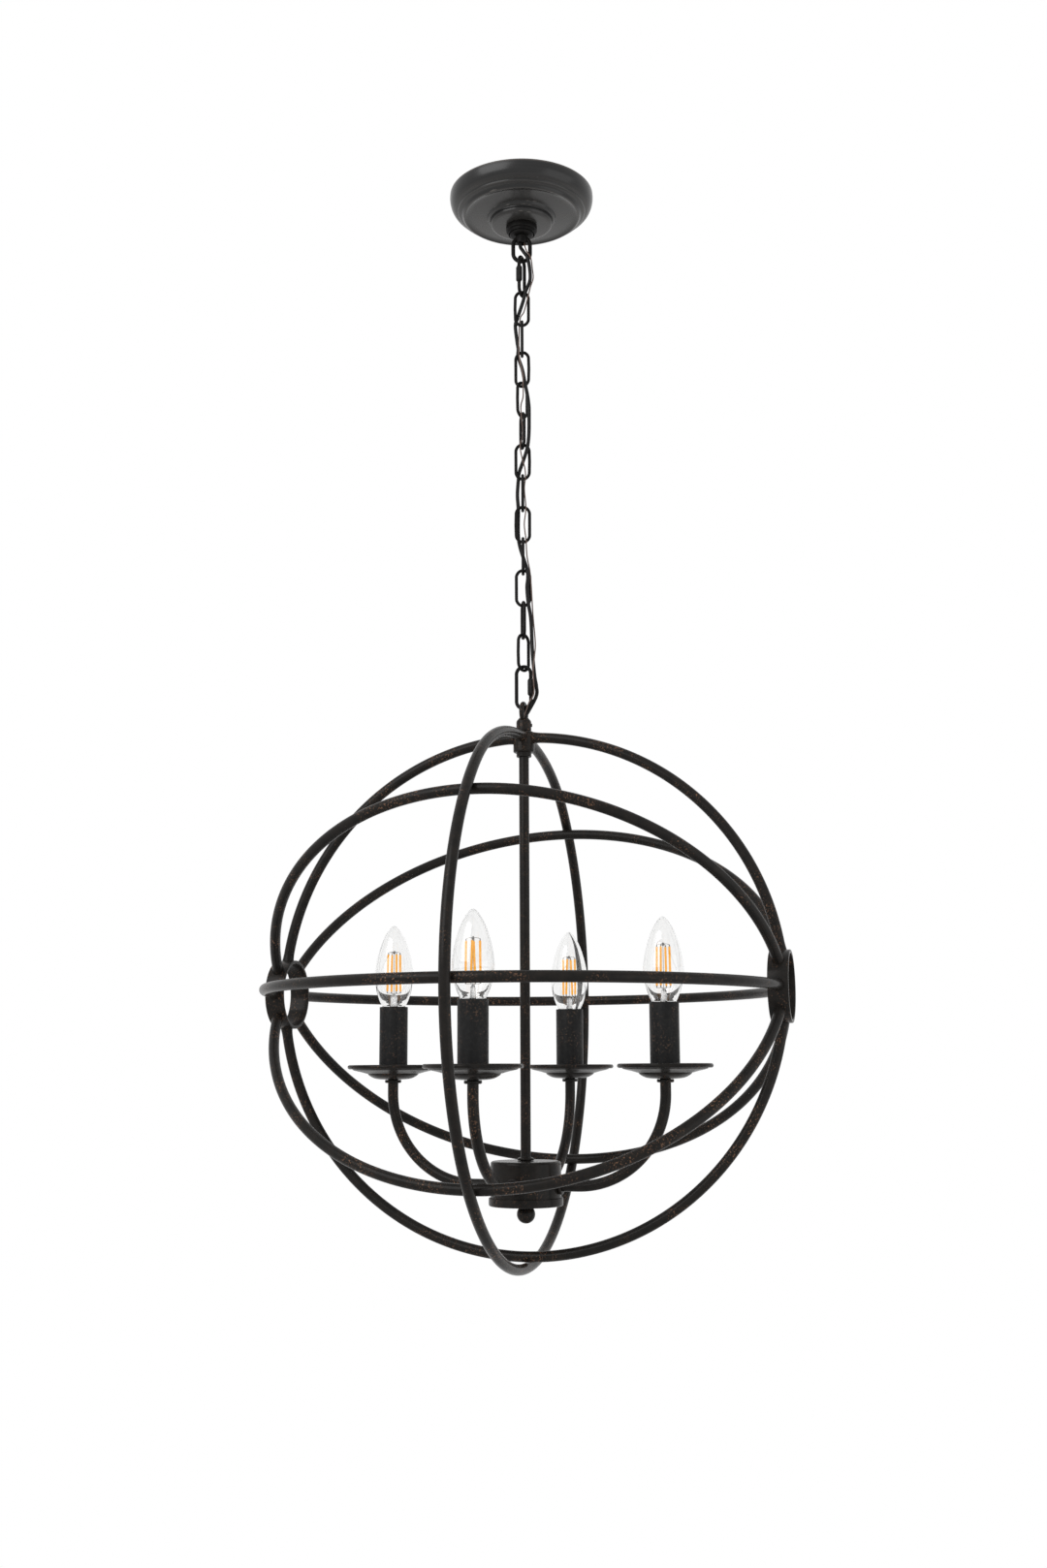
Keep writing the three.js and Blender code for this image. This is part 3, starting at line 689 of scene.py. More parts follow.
# Canopy: a spun dish in steps, in millimetres. Each point is a radius, a depth and a rounding.
canopyShape = {
    "sheet": 1.2,
    "hole": 11.9,
    "points": [
        (67.7, 0, 0), (67.9, 2.5, 2), (67.8, 5, 2), (67.2, 8, 2), (66.2, 10.5, 2), (64.7, 12.9, 2),
        (62.6, 14.7, 1.6), (60.5, 15.4, 0.5), (60.1, 17.1, 0.6), (58.5, 18, 1.2), (56.6, 18.5, 1),
        (55.6, 20.1, 0.9), (54.6, 21.3, 0.9), (53.2, 21.4, 0.8), (51.8, 20.7, 1.2), (49, 20.3, 2),
        (42, 20.9, 3), (35.5, 21.5, 1.5), (32.8, 21.8, 0.3), (32.4, 22.5, 0.5), (32, 23.4, 0.5),
        (31.3, 24.2, 0.5), (30.6, 24.6, 0.3), (29.9, 24.8, 0), (29.7, 25.6, 0.3), (29.6, 27.2, 1),
        (29.1, 28.8, 0.8), (28.1, 29.9, 0.6), (26.5, 30.4, 0.6), (20, 30.8, 2), (14, 30.95, 1),
        (11.9, 30.95, 0),
    ],
}


def sheetInside(line, sheet, hole):
    inner = []
    for i, here in enumerate(line):
        along = line[min(i + 1, len(line) - 1)] - line[max(i - 1, 0)]
        side = Vector((along.y, -along.x)).normalized() * sheet
        inner.append((max(here.x + side.x, hole), here.y + side.y))
    return inner


def fromTop(points, top):  # each point has a radius, a depth and a rounding, in millimetres
    return [(r * mm, top - d * mm, f * mm) if f else (r * mm, top - d * mm) for r, d, f in points]


def makeCanopy(look):
    line = roundCorners(fromTop(look["points"], 0))
    inner = [(r, min(z, 0)) for r, z in sheetInside(line, look["sheet"] * mm, look["hole"] * mm)]
    shell = turned("canopyCup", [tuple(p) for p in line] + inner[::-1], canopyBronze, segments=160, angle=38)
    standFor(shell, "canopy")


makeCanopy(canopyShape)

# Collar ring under the canopy, with a narrower step below
collarSet = {"bore": 11.9 * mm, "step": 12.9 * mm, "stepHeight": 2.6 * mm, "round": 0.9 * mm}


def makeCollar(look):
    low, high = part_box("canopy_collar")
    r, shelf = (high.x - low.x) / 2, low.z + look["stepHeight"]
    edge = look["round"] / 3
    corners = [(look["bore"], low.z, edge / 2), (look["step"], low.z, edge), (look["step"], shelf, edge),
               (r, shelf, look["round"]), (r, high.z, edge), (look["bore"], high.z, edge / 2)]
    standTurned("canopy_collar", corners, finishes["chainBlack"], segments=72)


makeCollar(collarSet)
print("ceiling fitting made")

# Chain: the oval pieces take their direction from the joint that hangs on them
hinges = [j for j in frame["joints"] if j["type"] == "hinge"]
facing = {j["parent"]: math.atan2(j["axis"][1], j["axis"][0]) for j in hinges}
linkSet = {"count": 12, "wire": 2.9 * mm, "width": 15.8 * mm, "squeeze": 0.1}


def turnedTo(body, node, alsoX=0.0):
    return Matrix.Translation((0, 0, middle(node).z)) @ Matrix.Rotation(facing[body] + alsoX, 4, "Z")


def ovalLink(name, wireSize, width, half, squeeze=0.0):
    bend = (width - wireSize) / 2
    piece = newPiece(name, [(0, 0, 0)], [], finishes["chainBlack"])
    return grown(piece, linkTree, finishes["chainBlack"], Bend_radius=bend, Half_leg=half,
                 Wire_radius=wireSize / 2, End_squeeze=squeeze / (half + bend) ** 2)


def makeLinks(look):
    for number in range(1, look["count"] + 1):
        name = f"chain_link_{number:02d}"
        half = (span(name).z - look["width"]) / 2
        piece = ovalLink(pieceName(name), look["wire"], look["width"], half, look["squeeze"])
        standFor(placed(smooth(piece, 60), turnedTo(bodyOf[name], name)), name)


# A quick link is open at one side, where a long nut on its threads closes it
quickSet = {
    "wire": 3.3 * mm, "width": 16.8 * mm, "mouthHalf": 1.7 * mm, "mouthBelow": 5.3 * mm, "steps": 420,
    "threadLength": 9 * mm, "threadPitch": 0.8 * mm, "threadCore": 0.97, "threadRidge": 0.045,
    "nutRadius": 3 * mm, "nutEdge": 0.9 * mm, "nutSlope": 1.6,
}


def ovalPoint(along, bend, half):
    bendLength, leg = math.pi * bend, 2 * half
    along %= 2 * (bendLength + leg)
    if along < half:
        return Vector((bend, 0, along))
    along -= half
    if along < bendLength:
        return Vector((bend * math.cos(along / bend), 0, half + bend * math.sin(along / bend)))
    along -= bendLength
    if along < leg:
        return Vector((-bend, 0, half - along))
    along -= leg
    if along < bendLength:
        return Vector((-bend * math.cos(along / bend), 0, -half - bend * math.sin(along / bend)))
    return Vector((bend, 0, -half + along - bendLength))


def makeQuickLink(which, look):
    link, nut = f"{which}_quick_link", f"{which}_link_nut"
    black, wireRadius, mouth = finishes["chainBlack"], look["wire"] / 2, look["mouthHalf"]
    bend, half = (look["width"] - look["wire"]) / 2, (span(link).z - look["width"]) / 2
    around = 2 * math.pi * bend + 4 * half
    start, stop = mouth - look["mouthBelow"], around - look["mouthBelow"] - mouth
    path, swell = [], []
    for k in range(look["steps"] + 1):
        along = start + (stop - start) * k / look["steps"]
        path.append(ovalPoint(along, bend, half))
        fromEnd = min(along - start, stop - along)
        ridge = look["threadRidge"] * math.sin(fullTurn * fromEnd / look["threadPitch"])
        swell.append(look["threadCore"] + ridge if fromEnd < look["threadLength"] else 1.0)
    piece = wire(pieceName(link), path, wireRadius, black, swell=swell, sides=20)
    direction = Vector((math.cos(facing[bodyOf[link]]), math.sin(facing[bodyOf[link]]), 0))
    flip = math.pi if direction.dot(middle(nut)) < 0 else 0.0
    standFor(placed(piece, turnedTo(bodyOf[link], link, flip)), link)
    low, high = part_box(nut)
    r, bore, edge = look["nutRadius"], wireRadius + crisp, look["nutEdge"]
    slope = edge * look["nutSlope"]
    corners = [(bore, low.z), (r - edge, low.z, crisp), (r, low.z + slope, thin), (r, high.z - slope, thin),
               (r - edge, high.z, crisp), (bore, high.z)]
    standTurned(nut, corners, black, centre=middle(nut)[:2], segments=6, angle=25)


# Canopy loop: a neck with a short spout for the cord, and an oval eye that hangs under it
neckSet = {
    "radius": 11.2 * mm, "bore": 5.3 * mm, "low": -41 * mm, "floor": -37.3 * mm, "hole": 3.5 * mm,
    "heelIn": 1.6 * mm, "heelUp": 1.4 * mm,
    "spoutTop": -40 * mm, "spoutLow": -48 * mm, "spoutRadius": 5 * mm, "spoutFlare": 2 * mm,
    "eyeWire": 3.8 * mm, "eyeWidth": 19.7 * mm, "eyeLength": 28.2 * mm,
}


def makeCanopyLoop(look):
    low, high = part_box("canopy_loop")
    black, base = finishes["chainBlack"], look["low"]
    neck, bore, hole = look["radius"], look["bore"], look["hole"]
    corners = [(bore, high.z), (neck - eased, high.z, soft), (neck, high.z - eased, soft),
               (neck, base + look["heelUp"], deep), (neck - look["heelIn"], base, deep), (hole, base),
               (hole, look["floor"]), (bore, look["floor"])]
    top, end, radius = look["spoutTop"], look["spoutLow"], look["spoutRadius"]
    spout = [(hole, top), (radius + light, top), (radius, top - look["spoutFlare"], full),
             (radius, end, full), (hole, end, light)]
    eye = ovalLink("eye", look["eyeWire"], look["eyeWidth"], (look["eyeLength"] - look["eyeWidth"]) / 2)
    lift = Matrix.Translation((0, 0, low.z + look["eyeLength"] / 2))
    placed(eye, lift @ Matrix.Rotation(facing["ceiling_mount"], 4, "Z"))
    parts = [turned("neck", corners, black, segments=72), turned("spout", spout, black, segments=48), eye]
    standFor(gather("canopyLoop", parts, black), "canopy_loop")


makeLinks(linkSet)
makeQuickLink("upper", quickSet)
makeQuickLink("lower", quickSet)
makeCanopyLoop(neckSet)
print("chain made")

# Cord and ground wire: routes given in millimetres, in the plane of the canopy loop
cordRoute = [
    (-1.2, 0, -8), (-1.2, 0, -30), (-1.2, -0.3, -45), (-1.1, -1.4, -52), (1.8, -3.5, -58), (5.9, -4.5, -66),
    (7.9, -3.3, -85), (3.3, -3.7, -99), (1.3, -2.2, -107), (-4.2, 3, -122), (-6.2, 3.9, -129.2),
    (-4.6, 4.5, -145), (-3.6, 5.2, -152), (-3.7, 5.1, -159.5), (0.1, 0.6, -174), (2.5, -4.6, -189.8),
    (5.4, -4.4, -206), (6.2, -3.2, -220), (4.9, -3.9, -250.2), (-3, 2.4, -274), (-3.9, 3.8, -280.5),
    (-4.9, 3.8, -296), (-4.1, 3.8, -310.8), (-3.7, 3.9, -341), (3.9, -4, -371.2), (3.5, -3.6, -387),
    (4.6, -3.8, -401.5), (6.9, -3.2, -417), (8.1, -4.8, -448), (9.9, -6.5, -470), (11.4, -4.8, -479),
    (11.4, -0.2, -487), (4.6, 2.2, -500), (1.4, 1.2, -505),
]
groundRoute = [
    (2.3, 0, -8), (2.3, 0, -30), (2.3, -0.3, -46), (4.5, -5.6, -58), (8.5, -5.2, -65), (10.1, -1.4, -75),
    (10.7, -3.6, -85), (8, -5.4, -95), (2.2, 0, -116), (-1.9, 2.6, -124.6), (-2.9, -2.3, -160),
    (0.6, -5.4, -181), (0.7, -7.2, -190), (0.8, -3.4, -202), (-1.1, -3, -210), (-1.3, -5.1, -218),
    (0.4, -3.4, -240), (-2.2, -3.2, -250), (-0.8, -5.2, -262), (2, -2.9, -272), (2.6, -3.1, -281),
    (1.5, -1.8, -292), (2.8, -3, -311), (1.3, -2.3, -326), (2.8, -2.6, -341), (3.7, -0.3, -356),
    (6.2, -2.5, -371), (7.4, -3.3, -386), (8.7, -1.4, -411), (10.7, -3.9, -438), (9.9, -8.1, -452),
    (8.5, -9.6, -465), (9, -8.6, -477), (8.9, -6.1, -487), (4.4, -5.8, -495), (0.4, -1.3, -506),
]
cordSet = {
    "radius": 1.7 * mm, "groundRadius": 0.6 * mm, "steps": 14, "turn": math.radians(15),
    "overlap": 2 * mm, "reach": 9 * mm,
}


# A cord is cut at the middle of each link, so that each length holds one joint
def cordPieces(node, route, radius, sides, finish, look):
    turn, reach = Matrix.Rotation(look["turn"], 3, "Z"), Vector((0, 0, look["reach"]))
    line = [turn @ p for p in smoothLine([Vector(p) * mm for p in route], look["steps"])]
    heights = [j["pos_m"][2] for j in hinges]
    cuts = [0.0] + [(a + b) / 2 for a, b in zip(heights, heights[1:])] + [-math.inf]
    for i, (high, low) in enumerate(zip(cuts, cuts[1:])):
        part = [p for p in line if low - look["overlap"] <= p.z <= high + look["overlap"]]
        if len(part) < 2:
            continue
        piece = wire(f"{pieceName(node)}{i + 1:02d}", part, radius, finish, sides=sides)
        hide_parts(node)
        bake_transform(piece)


cordPieces("supply_cord", cordRoute, cordSet["radius"], 20, finishes["cordBlack"], cordSet)
cordPieces("ground_wire", groundRoute, cordSet["groundRadius"], 12, finishes["groundCopper"], cordSet)
print("cords made")

# Frame loop: a round eye on a collar with a set screw, and the hub under it
loopSet = {
    "wire": 4.2 * mm, "eyeOuter": 20.3 * mm, "bore": 3.5 * mm, "collarRadius": 6.75 * mm,
    "collarHeight": 11.8 * mm, "crown": 1 * mm,
    "slopeIn": 2.6 * mm, "slopeUp": 2.4 * mm, "slopeRound": 1.8 * mm,
    "screwRadius": 1.6 * mm, "screwProud": 0.9 * mm, "screwSunk": 1.5 * mm, "screwTurn": math.radians(15),
    "keyShare": 0.45, "keyRound": 0.15 * mm,
}


def makeFrameLoop(look):
    low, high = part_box("frame_loop")
    ring = (look["eyeOuter"] - look["wire"]) / 2
    eyeMiddle = high.z - look["eyeOuter"] / 2
    path = [(0, x, eyeMiddle + y) for x, y in circle(ring, 96)]
    eye = wire("eyeRing", path, look["wire"] / 2, bodyBronze, closed=True)
    r, top, base, bore = look["collarRadius"], low.z + look["collarHeight"], low.z, look["bore"]
    corners = [(bore, base), (r - soft, base, crisp), (r, base + soft, light),
               (r, top - look["slopeUp"], deep), (r - look["slopeIn"], top + full, look["slopeRound"]),
               (bore, top + look["crown"])]
    collar = turned("loopCollar", corners, bodyBronze, segments=64)
    s, out, foot = look["screwRadius"], r + look["screwProud"], r - look["screwSunk"]
    key = s * look["keyShare"]
    screw = [(0, foot), (s, foot), (s, out - crisp, thin), (key, out, look["keyRound"]), (key, out - eased),
             (0, out - eased)]
    head = turned("screwHead", screw, bodyBronze, segments=24)
    lift = Matrix.Translation((0, 0, base + look["collarHeight"] / 2))
    placed(head, lift @ Matrix.Rotation(look["screwTurn"], 4, "Z") @ Matrix.Rotation(math.pi / 2, 4, "Y"))
    standFor(gather("frameLoop", [eye, collar, head], bodyBronze), "frame_loop")


hubSet = {
    "radius": 9.5 * mm, "flange": 6.7 * mm, "flangeHeight": 4 * mm, "bore": 3.5 * mm, "stemBore": 4.8 * mm,
    "stemRoom": 9 * mm,
}


def makeHub(look):
    low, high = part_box("top_hub")
    r, f, step = look["radius"], look["flange"], low.z + look["flangeHeight"]
    shelf = step + look["stemRoom"]
    corners = [(look["bore"], high.z), (r - deep, high.z, soft), (r, high.z - deep, full),
               (r, step + full, soft), (r - full, step, soft), (f, step, light), (f, low.z, soft),
               (look["stemBore"], low.z), (look["stemBore"], shelf), (look["bore"], shelf)]
    standTurned("top_hub", corners, bodyBronze, segments=72)


makeFrameLoop(loopSet)
makeHub(hubSet)

# Ball of rods: each one follows its arc, and swells a little where it is welded on
ballSet = {
    "radius": 225.4 * mm, "rod": 4.6 * mm, "gap": 0.3 * mm, "upper": 42.5, "slant": 45.0,
    "weldSwell": 0.16, "weldLength": 3.4 * mm, "hubSink": 8.6 * mm, "collarSink": 0.9 * mm,
    "collarRadius": 30.8 * mm, "collarWall": 3 * mm, "dip": 8.6 * mm, "dipFrom": 4.0, "dipTo": 40.0,
}


def arcPath(start, stop, radiusAt, steps):
    return [Vector((radiusAt(a) * math.cos(a), 0, radiusAt(a) * math.sin(a))) for a in
            (start + (stop - start) * k / steps for k in range(steps + 1))]


def weldSwells(path, look):
    run = [0.0]
    for a, b in zip(path, path[1:]):
        run.append(run[-1] + (b - a).length)
    return [1 + sum(look["weldSwell"] * math.exp(-((n / look["weldLength"]) ** 2)) for n in (s, run[-1] - s))
            for s in run]


def rod(node, path, turn, look):
    piece = wire(pieceName(node), path, look["rod"], bronze, swell=weldSwells(path, look), sides=28)
    return standFor(placed(piece, Matrix.Translation((0, 0, ballCentre)) @ turn), node)


def makeBall(look):
    r, upper, slant = look["radius"], look["upper"], look["slant"]
    inner = math.asin((look["collarRadius"] - look["collarSink"]) / r)
    swings = {"level_arc_back": 0, "level_arc_front": 180, "bottom_arc": -90, "upper_arc_back": slant,
              "upper_arc_front": 180 - upper, "lower_arc_back": -upper, "lower_arc_front": 180 + slant}
    half = arcPath(inner, math.pi - inner, lambda a: r, steps=180)
    for arc, swing in swings.items():
        rod(arc, half, Matrix.Rotation(math.radians(swing - 90), 4, "X"), look)
    hubSide = math.pi / 2 - math.asin(look["hubSink"] / r)
    quarter = arcPath(inner, hubSide, lambda a: r, steps=90)
    rod("top_arc_right", quarter, Matrix.Identity(4), look)
    rod("top_arc_left", quarter, Matrix.Rotation(math.pi, 4, "Z"), look)
    outer = r + 2 * look["rod"] + look["gap"]
    low, high = math.radians(look["dipFrom"]), math.radians(look["dipTo"])

    def ringRadius(a):  # the cross ring dips towards the hub at its top
        away = min(a - math.pi / 2, 5 * math.pi / 2 - a)
        t = min(max((away - low) / (high - low), 0), 1)
        return outer - look["dip"] * (1 - t * t * (3 - 2 * t))

    opening = math.asin(look["hubSink"] / outer)
    ring = arcPath(math.pi / 2 + opening, 5 * math.pi / 2 - opening, ringRadius, steps=360)
    rod("cross_ring", ring, Matrix.Rotation(math.pi / 2, 4, "Z"), look)
    for collar in ("end_collar_right", "end_collar_left"):
        bore, radius, h = look["collarRadius"] - look["collarWall"], look["collarRadius"], span(collar).x / 2
        corners = [(bore, -h, full), (radius, -h, full), (radius, h, full), (bore, h, full)]
        lie = Matrix.Translation(middle(collar)) @ Matrix.Rotation(math.pi / 2, 4, "Y")
        standTurned(collar, corners, bronze, lie, segments=128)


makeBall(ballSet)
print("ball made")

# Centre tube, body, cover and finial
tubeSet = {"radius": 4.45 * mm, "bore": 2.9 * mm, "ring": 7.2 * mm, "ringHeight": 2.4 * mm}


def makeTube(look):
    low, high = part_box("centre_tube")
    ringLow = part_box("body_cup")[1].z + thin
    top, ring, tube, bore = ringLow + look["ringHeight"], look["ring"], look["radius"], look["bore"]
    corners = [(bore, low.z), (tube, low.z), (tube, ringLow), (ring - soft, ringLow, thin),
               (ring, ringLow + soft, light), (ring, top - eased, soft), (ring - deep, top, full),
               (tube + eased, top, soft), (tube, top + full, soft), (tube, high.z), (bore, high.z)]
    standTurned("centre_tube", corners, bodyBronze, segments=64)


finialSet = {"radius": 7.9 * mm, "neck": 5 * mm, "steps": 28, "stud": 2.5 * mm, "studLength": 12 * mm}


def makeFinial(look):
    low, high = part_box("ball_finial")
    radius, neck, stud, steps = look["radius"], look["neck"], look["stud"], look["steps"]
    seat = high.z - look["studLength"]
    last = math.pi - math.asin(neck / radius)
    angles = [last * k / steps for k in range(steps + 1)]
    ball = [(radius * math.sin(a), low.z + radius - radius * math.cos(a)) for a in angles]
    line = ball + [(neck, seat), (stud, seat), (stud, high.z), (0, high.z)]
    standTurned("ball_finial", line, bodyBronze, segments=64)


bodySet = {
    "radius": 30.4 * mm, "sheet": 1.5 * mm, "fillet": 3 * mm, "fillInside": 1.8 * mm, "hole": 4.8 * mm,
    "cover": 32 * mm, "coverSheet": 1.4 * mm, "coverRound": 1.8 * mm, "room": 0.35 * mm,
}


def makeBody(look):
    low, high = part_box("body_cup")
    radius, wall, hole = look["radius"], look["sheet"], look["hole"]
    cup = [(radius, low.z, thin), (radius, high.z, look["fillet"]), (hole, high.z), (hole, high.z - wall),
           (radius - wall, high.z - wall, look["fillInside"]), (radius - wall, low.z, thin)]
    standTurned("body_cup", cup, bodyBronze, segments=144, steps=8)
    low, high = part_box("body_cover")
    rim, inside, hole = look["cover"], radius + look["room"], finialSet["stud"] + look["room"]
    shelf = low.z + look["coverSheet"]
    cover = [(hole, low.z), (rim, low.z, look["coverRound"]), (rim, high.z, soft), (inside, high.z, thin),
             (inside, shelf), (hole, shelf)]
    standTurned("body_cover", cover, bodyBronze, segments=144, steps=6)


makeTube(tubeSet)
makeBody(bodySet)
makeFinial(finialSet)

# Four lights: arm, pan, sleeve, socket and bulb, each built once at its place and turned round
lights = ["right", "front", "left", "back"]
lightMiddle = {side: middle("candle_sleeve_" + side) for side in lights}
lightReach = lightMiddle["right"].xy.length
lightTurn = {side: math.atan2(p.y, p.x) for side, p in lightMiddle.items()}


def lightPlace(side):
    return Matrix.Rotation(lightTurn[side], 4, "Z") @ Matrix.Translation((lightReach, 0, 0))


def addToBulb(piece, side):
    return addTo(placed(piece, lightPlace(side)), "bulb_" + side)


armSet = {
    "radius": 4.65 * mm, "bend": 78 * mm, "entry": 20.4 * mm, "sunk": 3 * mm,
    "bendSteps": 60, "upSteps": 8, "inSteps": 6,
    "ring": 7.3 * mm, "ringHeight": 2.8 * mm, "ringSlope": 0.9 * mm,
}


def makeArm(side, look):
    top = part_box("arm_" + side)[1].z
    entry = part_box("body_cup")[1].z - look["entry"]
    bend, wall, radius = look["bend"], bodySet["radius"], look["radius"]
    bendSteps, upSteps, inSteps = look["bendSteps"], look["upSteps"], look["inSteps"]
    corner = [Vector((lightReach - bend + bend * math.cos(a), 0, entry + bend - bend * math.sin(a)))
              for a in (math.pi / 2 * k / bendSteps for k in range(bendSteps + 1))]
    drop, reach = corner[0].z - top, wall - look["sunk"] - corner[-1].x
    straight = [Vector((lightReach, 0, top + drop * k / upSteps)) for k in range(upSteps)]
    inward = [Vector((corner[-1].x + reach * k / inSteps, 0, entry)) for k in range(1, inSteps + 1)]
    tube = wire("armTube", straight + corner + inward, radius, bronze, sides=32)
    rim, h = look["ring"], look["ringHeight"]

    def flange(name, face, out):
        corners = [(look["sunk"], face), (rim - light, face, thin), (rim, face + out * soft, thin),
                   (rim, face + out * (h - eased), soft), (rim - look["ringSlope"], face + out * h, soft),
                   (radius + thin, face + out * h, thin), (look["sunk"], face + out * h)]
        return turned(name, corners, bronze, segments=56)

    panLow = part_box("drip_pan_" + side)[0].z
    under = placed(flange("underPan", panLow - thin, -1), Matrix.Translation((lightReach, 0, 0)))
    onWall = flange("onBody", wall + thin, 1)
    placed(onWall, Matrix.Translation((0, 0, entry)) @ Matrix.Rotation(math.pi / 2, 4, "Y"))
    piece = gather(pieceName("arm_" + side), [tube, under, onWall], bronze)
    standFor(placed(piece, Matrix.Rotation(lightTurn[side], 4, "Z")), "arm_" + side)


panSet = {
    "rim": 1.85 * mm, "rollFrom": 155, "roll": 320, "rollSteps": 24, "sheet": 1 * mm, "hole": 4.95 * mm,
    "points": [
        (37.1, 2.3, 0), (36.5, 2.9, 0.2), (36.2, 4.3, 0.5), (33.6, 5.1, 2), (28.5, 6.2, 3), (25.2, 7.1, 1.6),
        (23.4, 7.7, 0.3), (22.8, 7.4, 0.1), (22.1, 8.7, 0.6), (20.4, 10, 2), (17.5, 11.5, 2.5),
        (14.5, 12.3, 2), (9, 12.8, 1),
    ],
}


def makePan(side, look):
    low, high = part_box("drip_pan_" + side)
    radius, b = (high - low).y / 2, look["rim"]
    line = roundCorners([*fromTop(look["points"], high.z), (look["hole"], low.z)], steps=5)
    inner = sheetInside(line, look["sheet"], look["hole"])[1:]
    steps = look["rollSteps"]
    angles = [math.radians(look["rollFrom"] - look["roll"] * k / steps) for k in range(steps + 1)]
    edge = [Vector((radius - b + b * math.cos(a), high.z - b + b * math.sin(a))) for a in angles]
    outline = [tuple(p) for p in edge + line[1:]] + inner[::-1]
    standTurned("drip_pan_" + side, outline, bodyBronze, lightPlace(side), segments=128, angle=50)


sleeveSet = {"radius": 12.65 * mm, "wall": 1 * mm, "lip": 0.35 * mm}


def makeSleeve(side, look):
    low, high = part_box("candle_sleeve_" + side)
    outer, inner = look["radius"], look["radius"] - look["wall"]
    corners = [(inner, low.z), (outer, low.z), (outer, high.z, look["lip"]), (inner, high.z, look["lip"])]
    standTurned("candle_sleeve_" + side, corners, finishes["sleeveBlack"], lightPlace(side), segments=72)


socketSet = {
    "bore": 6.3 * mm, "wall": 2.5 * mm, "foot": 6.5 * mm, "footHeight": 16 * mm, "stub": 4.95 * mm,
    "stubHeight": 8.2 * mm,
}


def makeSocket(side, look):
    low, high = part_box("socket_" + side)
    bore, outer, foot, stub = look["bore"], look["bore"] + look["wall"], look["foot"], look["stub"]
    shelf, floor = low.z + look["footHeight"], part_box("bulb_" + side)[0].z - thin
    stubTop = low.z + look["stubHeight"]
    corners = [(0, stubTop), (stub, stubTop), (stub, low.z), (foot, low.z, thin), (foot, shelf, thin),
               (outer, shelf, full), (outer, high.z, eased), (bore, high.z, light), (bore, floor),
               (0, floor)]
    standTurned("socket_" + side, corners, finishes["porcelain"], lightPlace(side), segments=48)


# The glass is drawn in shares of its radius and height. The contact's points are a share of the
# base's radius, a height and a rounding in millimetres.
bulbSet = {
    "radius": 17.4 * mm, "height": 72.8 * mm, "wall": 0.9 * mm, "base": 5.95 * mm,
    "threadPitch": 2.3 * mm, "threadDepth": 0.45 * mm, "threadTop": 1 * mm, "threadClear": 5 * mm,
    "contact": [(0.85, 3, 0.6), (0.4, 1.2, 0.5), (0.35, 0, 0.3)],
    "shares": [
        (0.345, -0.0345), (0.43, -0.033), (0.52, -0.024), (0.585, -0.004), (0.62, 0.018), (0.67, 0.043),
        (0.735, 0.076), (0.795, 0.115), (0.845, 0.152), (0.89, 0.193), (0.935, 0.243), (0.972, 0.295),
        (0.994, 0.34), (1.0, 0.38), (0.986, 0.43), (0.937, 0.52), (0.87, 0.6), (0.785, 0.68), (0.68, 0.76),
        (0.56, 0.835), (0.44, 0.89), (0.32, 0.935), (0.2, 0.972), (0.09, 0.993), (0.0, 1.0),
    ],
}


def makeGlass(side, look, foot, top):
    points = [(look["radius"] * r, foot + look["height"] * h, 0) for r, h in look["shares"]]
    line = smoothLine(points, steps=6)
    line = [Vector((max(p.x, 0), min(p.y, top))) for p in line]
    inner = [(max(x, 0), y) for x, y in sheetInside(line, -look["wall"], 0)]
    inner[-1] = (0, top - look["wall"])
    outline = [tuple(p) for p in line] + inner[::-1]
    glass = turned("bulbGlass" + side.title(), outline, bulbGlass, segments=128, angle=80)
    standFor(placed(glass, lightPlace(side)), "bulb_" + side)


def makeBase(side, look, neck, low):
    b, pitch, start = look["base"], look["threadPitch"], neck - look["threadTop"]
    turns = int((neck - low - look["threadClear"]) / pitch * 2)
    thread = [(b - look["threadDepth"] * (k % 2), start - k * pitch / 2, light) for k in range(turns)]
    contact = [(b * share, low + up * mm, r * mm) for share, up, r in look["contact"]]
    metal = [(0, neck), (b - crisp, neck), *thread, *contact, (0, low)]
    addToBulb(turned("bulbBase" + side.title(), metal, finishes["nickel"], segments=48), side)


# Inside a bulb: four strands round a ring, with their tips and fine wires. Heights are above the
# foot of the glass, here and in the stem.
strandSet = {
    "count": 4, "steps": 12, "low": 14 * mm, "high": 46.8 * mm, "lowRing": 6.3 * mm, "highRing": 5.7 * mm,
    "thick": 0.95 * mm, "tip": 1.7 * mm, "tipThick": 0.5 * mm, "wire": 0.2 * mm,
    "post": 1.3, "postSunk": 1 * mm,
    "turn": {"right": -27, "front": -15, "left": 25, "back": -29},
    "twist": {"right": 2, "front": 11, "left": 0, "back": 11},
    "bead": 1.5 * mm, "beadFlat": 0.8, "beadSteps": 16,
    "root": 0.5, "rootSunk": 2 * mm, "rootUp": 3 * mm, "leadShare": 0.4, "leadUp": 1.4 * mm,
}


